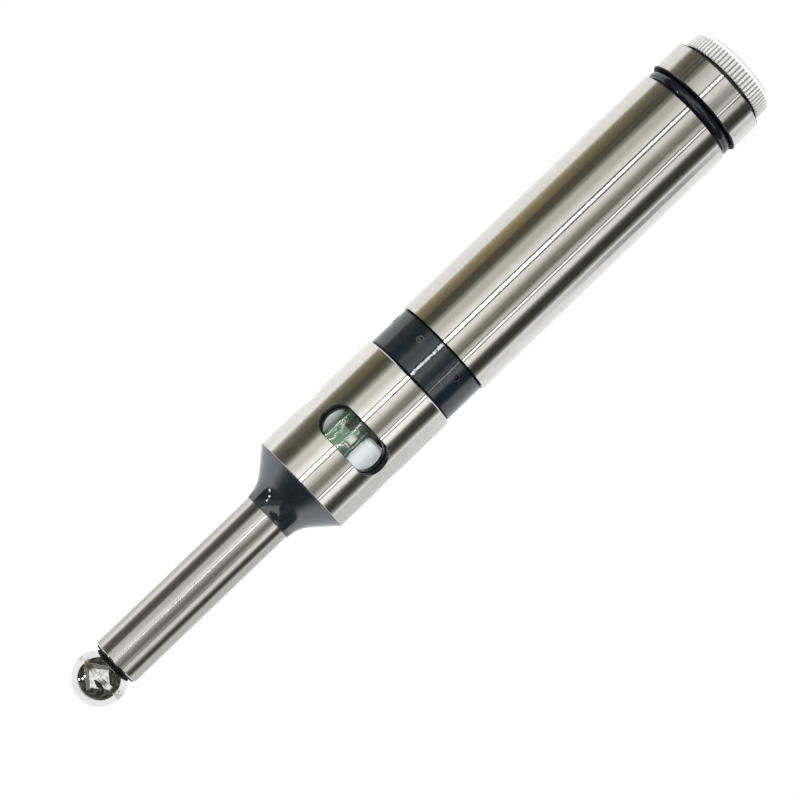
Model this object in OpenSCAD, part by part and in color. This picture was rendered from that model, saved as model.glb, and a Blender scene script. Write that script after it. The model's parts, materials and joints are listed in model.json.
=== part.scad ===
// Photoelectric edge finder with a 20 mm shank and a 10 mm contact ball.
// The origin is on the axis, at the shoulder where the shank meets the collar.
// Z points up the shank to the battery cap, and the first window faces -Y.

/* [Shank] */
// Diameter of the ground shank that the collet grips
shank_d = 20; // [19:0.5:25]
// Length of the ground shank
shank_len = 59; // [56:1:80]
// Chamfer on the edges of the steel bodies
edge_chamfer = 0.2; // [0.1:0.05:0.4]
// Length of the shank's spigot inside the window housing
spigot_thread_len = 5.5; // [4:0.5:7]

/* [Battery] */
// Diameter of the battery
battery_d = 10.3; // [9.8:0.1:10.6]
// Length of the battery with its nub
battery_len = 28.5; // [27.5:0.1:29]
// Height of the battery's contact nub
nub_len = 1; // [0.6:0.1:1.4]
// Diameter of the battery's contact nub
nub_d = 3.6; // [3:0.1:5]
// Wall of the insulating sleeve round the battery
liner_wall = 1.1; // [0.8:0.1:1.3]
// Depth of the battery's upper end below the end of the shank
battery_drop = 13.5; // [12.5:0.5:20]

/* [Collar] */
// Length of the black collar
collar_len = 8.5; // [7:0.5:12]
// Depth of the collar below the shank's surface
collar_recess = 0.5; // [0.3:0.1:0.8]
// Number of grub screws round the collar
screw_count = 6; // [3:1:8]
// Diameter of a grub screw
screw_d = 1.7; // [1.4:0.1:2.4]
// Distance of the grub screws from the shoulder
screw_drop = 2.6; // [2:0.1:4]

/* [Window housing] */
// Length of the window housing
housing_len = 26.2; // [25.6:0.1:32]
// Wall of the window housing
housing_wall = 1.6; // [1.4:0.1:1.8]
// Number of light windows
window_count = 3; // [2:1:4]
// Width of a window along the axis
window_w = 6.6; // [5:0.1:7]
// Half of the angle that a window spans on the outer surface
window_half_angle = 45.2; // [38:0.1:48]
// Height of the window's middle above the housing's lower edge
window_rise = 11.85; // [11:0.05:12.5]

/* [Light unit] */
// Wall of the black window liner
liner_tube_wall = 1.05; // [0.8:0.05:1.2]
// Amount by which the liner's windows are narrower than the housing's on each side
window_lip = 0.15; // [0.1:0.05:0.4]
// Wall of the clear lens tube
lens_wall = 0.9; // [0.7:0.05:1.1]
// Gap between the board's free edge and the lens tube
board_side_gap = 2.5; // [2.3:0.1:3.2]
// Thickness of the circuit board
board_t = 0.8; // [0.6:0.1:1]
// Diameter of a lamp
lamp_d = 4.1; // [3:0.1:4.3]
// Height of a lamp
lamp_len = 8.6; // [8:0.1:9.4]
// Edge radius on the flat end of a lamp
lamp_round = 0.9; // [0.4:0.1:1.2]

/* [Nose cone] */
// Length of the visible nose cone
nose_len = 8; // [7.2:0.1:9]
// Depth of the nose cone's wide end below the housing's surface
nose_recess = 0.2; // [0.1:0.05:0.4]
// Angle of the nose cone's flank from the axis
nose_angle = 41; // [39:0.5:43]
// Wall of the nose cone at its mouth
nose_lip = 0.15; // [0.1:0.05:0.5]

/* [Stylus] */
// Diameter of the stylus tube
stylus_d = 9.5; // [9:0.1:9.8]
// Bore of the stylus tube
stylus_bore_d = 5.8; // [5.2:0.1:6]
// Distance from the nose cone's mouth to the centre of the ball
ball_reach = 40.3; // [36:0.1:60]
// Diameter of the contact ball
ball_d = 10; // [9.8:0.1:11]
// Half angle of the conical seat that holds the ball
seat_angle = 50; // [47:0.5:53]
// Length of the conical seat below its contact line
seat_land = 0.23; // [0.15:0.01:0.4]

/* [Battery cap] */
// Length of the cap's plain band
band_len = 6; // [5:0.5:9]
// Length of the undercut below the knurled head
undercut_len = 0.7; // [0.4:0.1:1]
// Length of the knurled head
knurl_len = 3.9; // [2.8:0.1:6]
// Depth of the knurled head below the shank's surface
knurl_drop = 1.05; // [0.85:0.05:1.7]
// Length of the chamfer at the end of the head
head_chamfer_len = 1.2; // [0.4:0.1:1.6]
// Depth of the chamfer at the end of the head
head_chamfer_depth = 1.55; // [0.4:0.05:2]
// Number of teeth round the knurled head
knurl_teeth = 68; // [40:2:80]
// Depth of a knurl tooth
knurl_depth = 0.32; // [0.2:0.01:0.45]
// Length of the cap's spigot in the shank
cap_spigot_len = 7.5; // [6.5:0.5:8.5]
// Wall of the shank round the cap's thread
thread_wall = 2; // [1.8:0.1:2.4]
// Axial height of the rubber ring
ring_h = 2.4; // [1.6:0.1:2.8]
// Depth of the rubber ring below the shank's surface
ring_recess = 0.4; // [0.2:0.05:0.6]

/* [Springs] */
// Wire diameter of the battery spring
battery_wire_d = 0.7; // [0.5:0.05:0.8]
// Number of curls of the battery spring
battery_turns = 6; // [4:1:7]
// Outer diameter of the battery spring
battery_spring_d = 7.9; // [7:0.1:8.2]
// Wire diameter of the tension spring
tension_wire_d = 0.5; // [0.4:0.05:0.6]
// Number of curls of the tension spring
tension_turns = 14; // [8:1:18]
// Outer diameter of the tension spring
tension_spring_d = 4.3; // [4:0.1:4.6]

/* [Hidden] */
$fn = 96;
// Overrun of every cut past the face that it opens
over = 1;
// Radial clearance of the running fits
run_fit = 0.06;
// Radial clearance of the pieces that stay put
seat_fit = 0.05;
// Radial clearance of a pressed pin
press_fit = 0.01;
// Clearance of the ball in its seat
ball_fit = 0.03;
// Clearance between a spring's end and the face that it presses on
spring_fit = 0.05;

// Heights of the main faces, from the shoulder
shank_r = shank_d / 2;
ring_z = shank_len;
cap_z = ring_z + ring_h;
band_top_z = cap_z + band_len;
knurl_z = band_top_z + undercut_len;
cap_top_z = knurl_z + knurl_len;
collar_z = -collar_len;
housing_z = collar_z - housing_len;
nose_z = housing_z - nose_len;
ball_z = nose_z - ball_reach;
window_z = housing_z + window_rise;

// Shank: its bores from the cap down to the collar, and the battery's seat
battery_r = battery_d / 2;
battery_top_z = ring_z - battery_drop;
battery_seat_z = battery_top_z - battery_len;
battery_edge = 0.5;
battery_dish = 0.3;
liner_gap = 0.15;
liner_in_r = battery_r + liner_gap;
liner_out_r = liner_in_r + liner_wall;
liner_rise = 0.5;
bore_r = liner_out_r + seat_fit;
thread_bore_r = shank_r - thread_wall;
thread_end_gap = 0.6;
thread_bore_z = ring_z - cap_spigot_len - thread_end_gap;
mouth_chamfer = 0.25;
disc_t = 2.2;
stud_head_t = 0.8;
stud_head_r = 2;
bore_z = battery_seat_z - stud_head_t - disc_t;
rod_r = 1;
sleeve_wall = 1.35;
sleeve_in_r = rod_r + seat_fit;
sleeve_r = sleeve_in_r + sleeve_wall;
spigot_step = 3;
spigot_r = shank_r - spigot_step;
spigot_thread_step = 1;
spigot_thread_r = spigot_r - spigot_thread_step;
web_z = collar_z - spigot_thread_len;

// Collar screws
collar_r = shank_r - collar_recess;
collar_chamfer = 0.4;
screw_sink = 0.3;
screw_len = collar_r - screw_sink - spigot_r;
socket_flats = 0.9;
socket_corner_r = socket_flats / 2 / cos(30);
socket_depth = 0.9;

// Light unit: liner, lens, lamps and board inside the window housing
housing_bore_r = shank_r - housing_wall;
window_turn = window_half_angle - asin(window_w / 2 / shank_r);
tube_out_r = housing_bore_r - seat_fit;
tube_in_r = tube_out_r - liner_tube_wall;
lens_out_r = tube_in_r - seat_fit;
lens_in_r = lens_out_r - lens_wall;
nose_spigot_len = 2.2;
nose_top_z = housing_z + nose_spigot_len;
nut_t = 1.6;
nut_flats = 10.6;
nut_corner_r = nut_flats / 2 / cos(30);
nut_bevel = 0.5;
stylus_proud = 0.2;
stylus_top_z = nose_top_z + nut_t + stylus_proud;
ledge_wall = 0.85;
holder_t = 1.7;
slot_depth = 1;
holder_top_z = stylus_top_z + holder_t;

// Lamps: centres, flange and leads
lamp_r = lamp_d / 2;
lamp_flange = 0.1;
lamp_flange_r = lamp_r + lamp_flange;
lamp_flange_t = 0.8;
lamp_lift = 0.3;
lamp_z = holder_top_z + lamp_lift;
lamp_out = lens_in_r - lamp_flange_r - seat_fit;
lamp_turns = [0, 139];
lead_r = 0.25;
lead_space = 1.27;
lead_trim = 0.3;

// Board, its caps and the contact below it
board_cap_t = 1.8;
board_cap_z = web_z - board_cap_t;
board_low_z = holder_top_z - slot_depth;
board_top_z = board_cap_z + slot_depth;
board_len = board_top_z - board_low_z;
board_left_x = board_side_gap - lens_in_r;
board_right_x = lamp_out - lamp_flange_r - seat_fit;
board_w = board_right_x - board_left_x;
board_shift = (board_left_x + board_right_x) / 2;
contact_r = 1;
contact_head_r = 1.6;
contact_head_t = 0.35;

// Parts on the board, placed as shares of its width and length
chip_places_share = [[0.228, 0.473], [-0.25, 0.2]];
chip_w = 1.25;
chip_len = 1.6;
chip_t = 0.55;
chip_end = 0.3;
chip_inset = 0.04;
transistor_place_share = [-0.114, 0.637];
transistor_w = 1.3;
transistor_len = 2.9;
transistor_t = 1;
pin_w = 0.4;
pin_reach = 0.55;
pin_t = 0.15;
via_places_share = [[0.1, 0.7], [-0.36, 0.52], [-0.36, 0.42]];
via_r = 0.22;

// Nose cone and stylus
stylus_r = stylus_d / 2;
nose_bore_r = stylus_r + seat_fit;
nose_mouth_r = nose_bore_r + nose_lip;
nose_top_r = shank_r - nose_recess;
nose_flare = nose_top_r - nose_mouth_r;
nose_fillet_r = (nose_len - nose_flare / tan(nose_angle)) / tan(nose_angle / 2);
nose_shoulder_up = 7;
nose_shoulder_z = nose_z + nose_shoulder_up;
stylus_thread_r = 4;
stylus_bore_r = stylus_bore_d / 2;
stylus_chamfer = 0.25;
stylus_edge = 0.5;
ball_r = ball_d / 2;
seat_r = (ball_r + ball_fit) * cos(seat_angle);
seat_z = ball_z + (ball_r + ball_fit) * sin(seat_angle);
seat_mouth_r = seat_r + seat_land * tan(seat_angle);
seat_throat_z = seat_z + (seat_r - stylus_bore_r) / tan(seat_angle);
stylus_end_z = seat_z - seat_land;

// Ball stem, tension spring and anchor
stem_r = 1;
stem_sink = 0.5;
hole_slack = 0.1;
eye_up = 7.8;
eye_z = ball_z + eye_up;
eye_r = 1.3;
eye_hole_r = 0.7;
eye_t = 0.7;
plug_len = 3.5;
plug_z = stylus_top_z - plug_len;
plug_slot_w = 0.8;
plug_slot_depth = 0.6;
anchor_drop = 1.6;
anchor_z = plug_z - anchor_drop;
tension_wire_r = tension_wire_d / 2;
tension_coil_r = tension_spring_d / 2 - tension_wire_r;
hook_r = 1.2;
hook_play = 0.1;
hook_drop = eye_hole_r - tension_wire_r - hook_play;
hook_lead = 1.6;
hook_turn = 235;
low_hook_z = eye_z + hook_drop + hook_r;
high_hook_z = anchor_z - hook_drop - hook_r;
coil_low_z = low_hook_z + hook_lead;
coil_high_z = high_hook_z - hook_lead;

// Cap: spigot, thread lands, rubber ring and spring pocket
thread_r = thread_bore_r - run_fit;
thread_depth = 0.52;
thread_root_r = thread_r - thread_depth;
low_land = 1;
top_land = 1.3;
relief = 0.1;
spigot_end_z = ring_z - cap_spigot_len;
spigot_top_z = ring_z - relief;
ring_squeeze = 0.03;
ring_wire_r = ring_h / 2 + ring_squeeze;
ring_mid_r = shank_r - ring_recess - ring_wire_r;
neck_r = ring_mid_r - ring_wire_r - seat_fit;
pocket_play = 0.5;
pocket_r = battery_spring_d / 2 + pocket_play;
washer_t = 0.6;
washer_hole_r = 1.5;
washer_z = spigot_top_z - washer_t;
knurl_r = shank_r - knurl_drop;
undercut_depth = 0.55;
undercut_r = knurl_r - undercut_depth;
head_break = 0.25;
// Distance by which the head's chamfer cones run out past the tips of the teeth
tip_clear = 0.2;
tip_clear_z = tip_clear * head_chamfer_len / head_chamfer_depth;
battery_wire_r = battery_wire_d / 2;
battery_coil_r = battery_spring_d / 2 - battery_wire_r;

// Sweep counts of the wound springs: rings in a curl, sides of the wire, rings in a bend
curl_rings = 8;
wire_sides = 6;
bend_rings = 6;
hook_rings = 10;

// A turned body from a profile of [radius, height] points
module turned(profile) {
    rotate_extrude()
        polygon(profile);
}

// A plain tube between two heights
module tube(r_out, r_in, z_low, z_high) {
    turned([[r_in, z_low], [r_out, z_low], [r_out, z_high], [r_in, z_high]]);
}

// A round bar between two heights
module bar(r, z_low, z_high) {
    translate([0, 0, z_low])
        cylinder(r = r, h = z_high - z_low);
}

// Copies its children round the axis
module ring_of(count) {
    for (i = [0 : count - 1])
        rotate(i * 360 / count)
            children();
}

// The space that a round cutter mills through a wall while the work turns both ways, facing -Y
module milled_slot(width, turn) {
    reach = shank_r + over;
    for (side = [-1, 1])
        rotate(side * turn)
            rotate([90, 0, 0])
                cylinder(d = width, h = reach);
    rotate(-90 - turn)
        rotate_extrude(angle = 2 * turn)
            translate([0, -width / 2])
                square([reach, width]);
}

// The windows round the housing, narrowed on each side
module windows(narrowing) {
    translate([0, 0, window_z])
        ring_of(window_count)
            milled_slot(window_w - 2 * narrowing, window_turn);
}

// An eye on the axis whose hole runs along X
module eye_disc(r, z) {
    translate([-eye_t / 2, 0, z])
        rotate([0, 90, 0])
            cylinder(r = r, h = eye_t);
}

// The cut of an eye's hole
module eye_hole(z) {
    translate([-stem_r - over, 0, z])
        rotate([0, 90, 0])
            cylinder(r = eye_hole_r, h = 2 * (stem_r + over));
}

// Points of a part turn, from a centre, a radius and two angles
function arc_points(centre, r, from, to, steps) =
    [for (i = [0 : steps])
        let (a = from + (to - from) * i / steps)
            centre + r * [cos(a), sin(a)]];

function unit(v) = v / norm(v);

// Points on a cubic curve between two places, leaving out both ends
function bend_points(a, a_way, b, b_way) =
    [for (i = [1 : bend_rings - 1])
        let (u = i / bend_rings, v = 1 - u)
            v * v * v * a + 3 * u * v * v * (a + a_way) + 3 * u * u * v * (b - b_way) + u * u * u * b];

// Directions along a path, one for each point
function path_tangents(path) =
    [for (i = [0 : len(path) - 1])
        unit(path[min(i + 1, len(path) - 1)] - path[max(i - 1, 0)])];

// A side direction for each point, which follows the path without twisting
function path_sides(ways, i = 0, side = undef) =
    let (start = is_undef(side) ? cross(ways[0], [0.3, 0.5, 0.8]) : side,
        here = unit(start - (start * ways[i]) * ways[i]))
            i == len(ways) - 1 ? [here] : concat([here], path_sides(ways, i + 1, here));

// A round wire swept along a path as one closed solid of triangles
module wire(path, r) {
    ways = path_tangents(path);
    sides = path_sides(ways);
    last = (len(path) - 1) * wire_sides;
    points = [for (i = [0 : len(path) - 1]) for (k = [0 : wire_sides - 1])
        let (a = k * 360 / wire_sides)
            path[i] + r * (cos(a) * sides[i] + sin(a) * cross(ways[i], sides[i]))];
    walls = [for (i = [0 : len(path) - 2]) for (k = [0 : wire_sides - 1])
        let (a = i * wire_sides + k, b = i * wire_sides + (k + 1) % wire_sides)
            each [[a, a + wire_sides, b], [b, a + wire_sides, b + wire_sides]]];
    low_end = [for (k = [1 : wire_sides - 2]) [0, k, k + 1]];
    high_end = [for (k = [1 : wire_sides - 2]) [last, last + k + 1, last + k]];
    polyhedron(points = points, faces = concat(walls, low_end, high_end));
}

// Points of a helix about Z that starts and ends on the +X side
function helix_points(r, z_low, z_high, turns) =
    let (steps = turns * curl_rings)
        [for (i = [0 : steps])
            let (a = 360 * i / curl_rings)
                [r * cos(a), r * sin(a), z_low + (z_high - z_low) * i / steps]];

// A path with its first and last stretch run on straight by one length
function run_on(path, length) =
    let (n = len(path) - 1)
        concat([path[0] + length * unit(path[0] - path[1])], path,
            [path[n] + length * unit(path[n] - path[n - 1])]);

// A hook in the XZ plane, from its opening round to the +X side; way is 1 for a low hook, -1 for a high one
function hook_points(z, way) =
    [for (i = [0 : hook_rings])
        let (a = hook_turn * (1 - i / hook_rings))
            [hook_r * cos(a), 0, z - way * hook_r * sin(a)]];

// The same points in the other order
function reversed(path) = [for (i = [len(path) - 1 : -1 : 0]) path[i]];

// The least gap between turns of a wire, on points that lie most of a turn apart
function least_gap(path, wire_d) =
    min([for (i = [0 : len(path) - 1]) for (j = [i + curl_rings - 1 : 1 : len(path) - 1])
        norm(path[i] - path[j])]) - wire_d;

// The battery spring's centre line, pressed between the battery and the washer
battery_path = run_on(
    helix_points(battery_coil_r, battery_top_z + battery_wire_r + spring_fit,
        washer_z - battery_wire_r - spring_fit, battery_turns),
    battery_wire_d);

// The tension spring's centre line: low hook, curls and high hook
low_corner = [hook_r, 0, low_hook_z];
high_corner = [hook_r, 0, high_hook_z];
coil_low = [tension_coil_r, 0, coil_low_z];
coil_high = [tension_coil_r, 0, coil_high_z];
lead_up = [0, 0, hook_lead / 2];
lead_round = [0, hook_lead / 2, 0];
tension_path = run_on(
    concat(
        hook_points(low_hook_z, 1),
        bend_points(low_corner, lead_up, coil_low, lead_round),
        helix_points(tension_coil_r, coil_low_z, coil_high_z, tension_turns),
        bend_points(coil_high, lead_round, high_corner, lead_up),
        reversed(hook_points(high_hook_z, -1))),
    tension_wire_d);

echo(battery_spring_least_gap = least_gap(battery_path, battery_wire_d));
echo(tension_spring_least_gap = least_gap(tension_path, tension_wire_d));

// Ground shank with the battery bore, the cap's thread bore and the spigot for the head
module shank_tube() {
    color("#c9c9c4")
        difference() {
            turned([
                [0, web_z],
                [spigot_thread_r - edge_chamfer, web_z],
                [spigot_thread_r, web_z + edge_chamfer],
                [spigot_thread_r, collar_z],
                [spigot_r, collar_z],
                [spigot_r, 0],
                [shank_r, 0],
                [shank_r, ring_z - edge_chamfer],
                [shank_r - edge_chamfer, ring_z],
                [0, ring_z]
            ]);
            bar(sleeve_r + seat_fit, web_z - over, bore_z + over);
            bar(bore_r, bore_z, ring_z);
            bar(thread_bore_r, thread_bore_z, ring_z + over);
            turned([
                [0, ring_z - mouth_chamfer],
                [thread_bore_r, ring_z - mouth_chamfer],
                [thread_bore_r + mouth_chamfer + over, ring_z + over],
                [0, ring_z + over]
            ]);
        }
}

// Insulating sleeve round the battery
module battery_liner() {
    color("#d8d2bf")
        tube(liner_out_r, liner_in_r, bore_z + disc_t, battery_top_z + liner_rise);
}

// Cylinder cell with its nub down and a shallow dish in the other end
module battery() {
    color("#b9bcc2")
        turned([
            [0, battery_seat_z],
            [nub_d / 2, battery_seat_z],
            [nub_d / 2, battery_seat_z + nub_len],
            [battery_r - battery_edge, battery_seat_z + nub_len],
            [battery_r, battery_seat_z + nub_len + battery_edge],
            [battery_r, battery_top_z - battery_edge],
            [battery_r - battery_edge, battery_top_z],
            [battery_r - battery_edge - battery_dish, battery_top_z - battery_dish],
            [battery_coil_r + battery_wire_r + battery_dish, battery_top_z - battery_dish],
            [battery_coil_r + battery_wire_r, battery_top_z],
            [0, battery_top_z]
        ]);
}

// Insulating disc that the contact stud stands on
module terminal_disc() {
    color("#7a4a2a")
        tube(bore_r - seat_fit, sleeve_in_r, bore_z, bore_z + disc_t);
}

// Brass rod from the battery's nub to the board
module contact_rod() {
    color("#c8a24a")
        turned([
            [0, board_top_z],
            [rod_r, board_top_z],
            [rod_r, bore_z + disc_t],
            [stud_head_r, bore_z + disc_t],
            [stud_head_r, battery_seat_z],
            [0, battery_seat_z]
        ]);
}

// Insulating sleeve that keeps the rod off the steel
module rod_sleeve() {
    color("#e6e2d6")
        tube(sleeve_r, sleeve_in_r, web_z, bore_z);
}

// Black collar with a ring of tapped holes
module collar_ring() {
    color("#23282f")
        difference() {
            turned([
                [spigot_r + seat_fit, collar_z],
                [collar_r - collar_chamfer, collar_z],
                [collar_r, collar_z + collar_chamfer],
                [collar_r, -collar_chamfer],
                [collar_r - collar_chamfer, 0],
                [spigot_r + seat_fit, 0]
            ]);
            translate([0, 0, -screw_drop])
                rotate(180 / screw_count - 90)
                    ring_of(screw_count)
                        rotate([0, 90, 0])
                            cylinder(d = screw_d + 2 * seat_fit, h = shank_r);
        }
}

// Grub screws that hold the collar to the spigot
module collar_screws() {
    color("#3a3d42")
        translate([0, 0, -screw_drop])
            rotate(180 / screw_count - 90)
                ring_of(screw_count)
                    translate([spigot_r, 0, 0])
                        rotate([0, 90, 0])
                            difference() {
                                cylinder(d = screw_d, h = screw_len);
                                translate([0, 0, screw_len - socket_depth])
                                    cylinder(r = socket_corner_r, h = socket_depth + over, $fn = 6);
                            }
}

// Steel sleeve with the milled windows, closed at the top by a threaded web
module window_housing() {
    color("#c6c5bf")
        difference() {
            turned([
                [spigot_thread_r + seat_fit, collar_z],
                [spigot_thread_r + seat_fit, web_z],
                [housing_bore_r, web_z],
                [housing_bore_r, housing_z],
                [shank_r - edge_chamfer, housing_z],
                [shank_r, housing_z + edge_chamfer],
                [shank_r, collar_z - edge_chamfer],
                [shank_r - edge_chamfer, collar_z]
            ]);
            windows(0);
        }
}

// Black sleeve behind the windows, with a ledge for the lamp holder
module window_liner() {
    color("#15171a")
        difference() {
            turned([
                [tube_in_r - ledge_wall, nose_top_z],
                [tube_out_r, nose_top_z],
                [tube_out_r, web_z],
                [tube_in_r, web_z],
                [tube_in_r, stylus_top_z],
                [tube_in_r - ledge_wall, stylus_top_z]
            ]);
            windows(window_lip);
        }
}

// Clear tube that lets the lamps be seen
module lens_tube() {
    color("#bfe0e6", 0.5)
        tube(lens_out_r, lens_in_r, holder_top_z, board_cap_z);
}

// The slot that holds an end of the board
module board_slot(z_low, z_high) {
    translate([board_shift - board_w / 2 - seat_fit, -board_t / 2 - seat_fit, z_low])
        cube([board_w + 2 * seat_fit, board_t + 2 * seat_fit, z_high - z_low]);
}

// Insulating disc with holes for the lamp leads and a slot for the board
module lamp_holder() {
    color("#1b1d20")
        difference() {
            bar(tube_in_r - seat_fit, stylus_top_z, holder_top_z);
            board_slot(board_low_z, holder_top_z + over);
            bar(contact_r + seat_fit, stylus_top_z - over, holder_top_z);
            bar(contact_head_r + seat_fit, stylus_top_z - over, stylus_top_z + contact_head_t);
            for (turn = lamp_turns)
                lamp_leads(turn, lead_r + seat_fit, stylus_top_z - over, holder_top_z + over);
        }
}

// Both leads of a lamp, or the holes for them
module lamp_leads(turn, r, z_low, z_high) {
    rotate(turn)
        for (side = [-1, 1])
            translate([lamp_out, side * lead_space, 0])
                bar(r, z_low, z_high);
}

// Insulating disc over the board's top edge
module board_cap() {
    color("#1b1d20")
        difference() {
            bar(tube_in_r - seat_fit, board_cap_z, web_z);
            board_slot(board_cap_z - over, board_top_z);
            bar(rod_r + seat_fit, board_top_z - over, web_z + over);
        }
}

// Places its children on the board's front face at a share of its width and length
module on_board(share) {
    translate([board_shift + share[0] * board_w, -board_t / 2, board_low_z + share[1] * board_len])
        children();
}

// Green board that stands in the light unit
module circuit_board() {
    color("#2f7a45")
        difference() {
            translate([board_shift - board_w / 2, -board_t / 2, board_low_z])
                cube([board_w, board_t, board_len]);
            for (share = via_places_share)
                on_board(share)
                    rotate([90, 0, 0])
                        translate([0, 0, -board_t - over])
                            cylinder(r = via_r, h = board_t + 2 * over, $fn = 24);
        }
}

// Chip capacitors with their metal ends a little proud of the body
module board_chips() {
    body_len = chip_len - 2 * chip_end;
    color("#e8e6df")
        for (share = chip_places_share)
            on_board(share) {
                translate([-chip_w / 2 + chip_inset, chip_inset - chip_t, -chip_len / 2 + chip_end])
                    cube([chip_w - 2 * chip_inset, chip_t - chip_inset, body_len]);
                for (z = [-chip_len / 2, chip_len / 2 - chip_end])
                    translate([-chip_w / 2, -chip_t, z])
                        cube([chip_w, chip_t, chip_end]);
            }
}

// Small transistor with two pins on one side and one on the other
module board_transistor() {
    pin_places_share = [[-1, -0.33], [-1, 0.33], [1, 0]];
    color("#17191c")
        on_board(transistor_place_share) {
            translate([-transistor_w / 2, -transistor_t, -transistor_len / 2])
                cube([transistor_w, transistor_t - pin_t, transistor_len]);
            for (share = pin_places_share)
                translate([
                    share[0] * (transistor_w + pin_reach) / 2 - (transistor_w / 4 + pin_reach) / 2,
                    -pin_t,
                    share[1] * transistor_len - pin_w / 2
                ])
                    cube([transistor_w / 4 + pin_reach, pin_t, pin_w]);
        }
}

// Flat-topped lamp with a flange and two leads
module lamp(turn) {
    rotate(turn)
        translate([lamp_out, 0, 0])
            turned(concat(
                [[0, lamp_z], [lamp_flange_r, lamp_z], [lamp_flange_r, lamp_z + lamp_flange_t],
                    [lamp_r, lamp_z + lamp_flange_t]],
                arc_points([lamp_r - lamp_round, lamp_z + lamp_len - lamp_round], lamp_round, 0, 90, 8),
                [[0, lamp_z + lamp_len]]));
    lamp_leads(turn, lead_r, stylus_top_z + lead_trim, lamp_z + lamp_flange_t);
}

module lamp_right() {
    color("#f2f2f0")
        lamp(lamp_turns[0]);
}

module lamp_left() {
    color("#f2f2f0")
        lamp(lamp_turns[1]);
}

// Brass rivet between the stylus and the board
module foot_contact() {
    color("#c8a24a")
        turned([
            [0, stylus_top_z],
            [contact_head_r, stylus_top_z],
            [contact_head_r, stylus_top_z + contact_head_t],
            [contact_r, stylus_top_z + contact_head_t],
            [contact_r, board_low_z],
            [0, board_low_z]
        ]);
}

// Black insulating cone with a hollow flare and a spigot in the housing
module nose_cone() {
    color("#2a2f38")
        turned(concat(
            arc_points([nose_mouth_r + nose_fillet_r, nose_z], nose_fillet_r, 180, 180 - nose_angle, 16),
            [
                [nose_top_r, housing_z],
                [tube_out_r, housing_z],
                [tube_out_r, nose_top_z],
                [stylus_thread_r + seat_fit, nose_top_z],
                [stylus_thread_r + seat_fit, nose_shoulder_z],
                [nose_bore_r, nose_shoulder_z],
                [nose_bore_r, nose_z]
            ]));
}

// Thin steel tube with the ball's conical seat at its end
module stylus_tube() {
    color("#cbcac5")
        turned([
            [stylus_bore_r, stylus_top_z],
            [stylus_thread_r - stylus_chamfer, stylus_top_z],
            [stylus_thread_r, stylus_top_z - stylus_chamfer],
            [stylus_thread_r, nose_shoulder_z],
            [stylus_r, nose_shoulder_z],
            [stylus_r, stylus_end_z + stylus_edge],
            [stylus_r - stylus_edge, stylus_end_z],
            [seat_mouth_r, stylus_end_z],
            [stylus_bore_r, seat_throat_z]
        ]);
}

// Hexagon nut with bevelled corners
module stylus_nut() {
    color("#8d8f92")
        difference() {
            intersection() {
                translate([0, 0, nose_top_z])
                    cylinder(r = nut_corner_r, h = nut_t, $fn = 6);
                turned([
                    [0, nose_top_z],
                    [nut_corner_r, nose_top_z],
                    [nut_corner_r, nose_top_z + nut_t - nut_bevel],
                    [nut_corner_r - nut_bevel, nose_top_z + nut_t],
                    [0, nose_top_z + nut_t]
                ]);
            }
            bar(stylus_thread_r + seat_fit, nose_top_z - over, nose_top_z + nut_t + over);
        }
}

// Slotted plug with an eye that hangs below it
module spring_anchor() {
    color("#a9abad")
        difference() {
            union() {
                bar(stylus_bore_r - seat_fit, plug_z, stylus_top_z);
                bar(stem_r, anchor_z, plug_z);
                eye_disc(eye_r, anchor_z);
            }
            eye_hole(anchor_z);
            flat_sides(anchor_z - eye_r - over, plug_z - (anchor_drop - eye_r));
            translate([-shank_r, -plug_slot_w / 2, stylus_top_z - plug_slot_depth])
                cube([2 * shank_r, plug_slot_w, plug_slot_depth + over]);
        }
}

// The cuts that flatten a round pin to the thickness of its eye
module flat_sides(z_low, z_high) {
    for (side = [0, 1])
        mirror([side, 0, 0])
            translate([eye_t / 2, -eye_r - over, z_low])
                cube([stem_r + over, 2 * (eye_r + over), z_high - z_low]);
}

// Extension spring with a hook at each end
module tension_spring() {
    color("#b4b6b8")
        wire(tension_path, tension_wire_r);
}

// Polished contact ball, drilled for its stem
module ball_tip() {
    color("#d9dadc")
        difference() {
            translate([0, 0, ball_z])
                sphere(ball_r);
            bar(stem_r + press_fit, ball_z - stem_sink - hole_slack, ball_z + ball_r + over);
        }
}

// Pin pressed into the ball, with an eye for the spring
module ball_stem() {
    color("#a9abad")
        difference() {
            union() {
                bar(stem_r, ball_z - stem_sink, eye_z);
                eye_disc(eye_r, eye_z);
            }
            eye_hole(eye_z);
            flat_sides(eye_z - eye_r, eye_z + eye_r + over);
        }
}

// Outline of the straight knurl, one pointed tooth at a time
function knurl_points() =
    [for (i = [0 : 2 * knurl_teeth - 1])
        let (a = 180 * i / knurl_teeth, r = i % 2 == 0 ? knurl_r : knurl_r - knurl_depth)
            r * [cos(a), sin(a)]];

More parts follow.
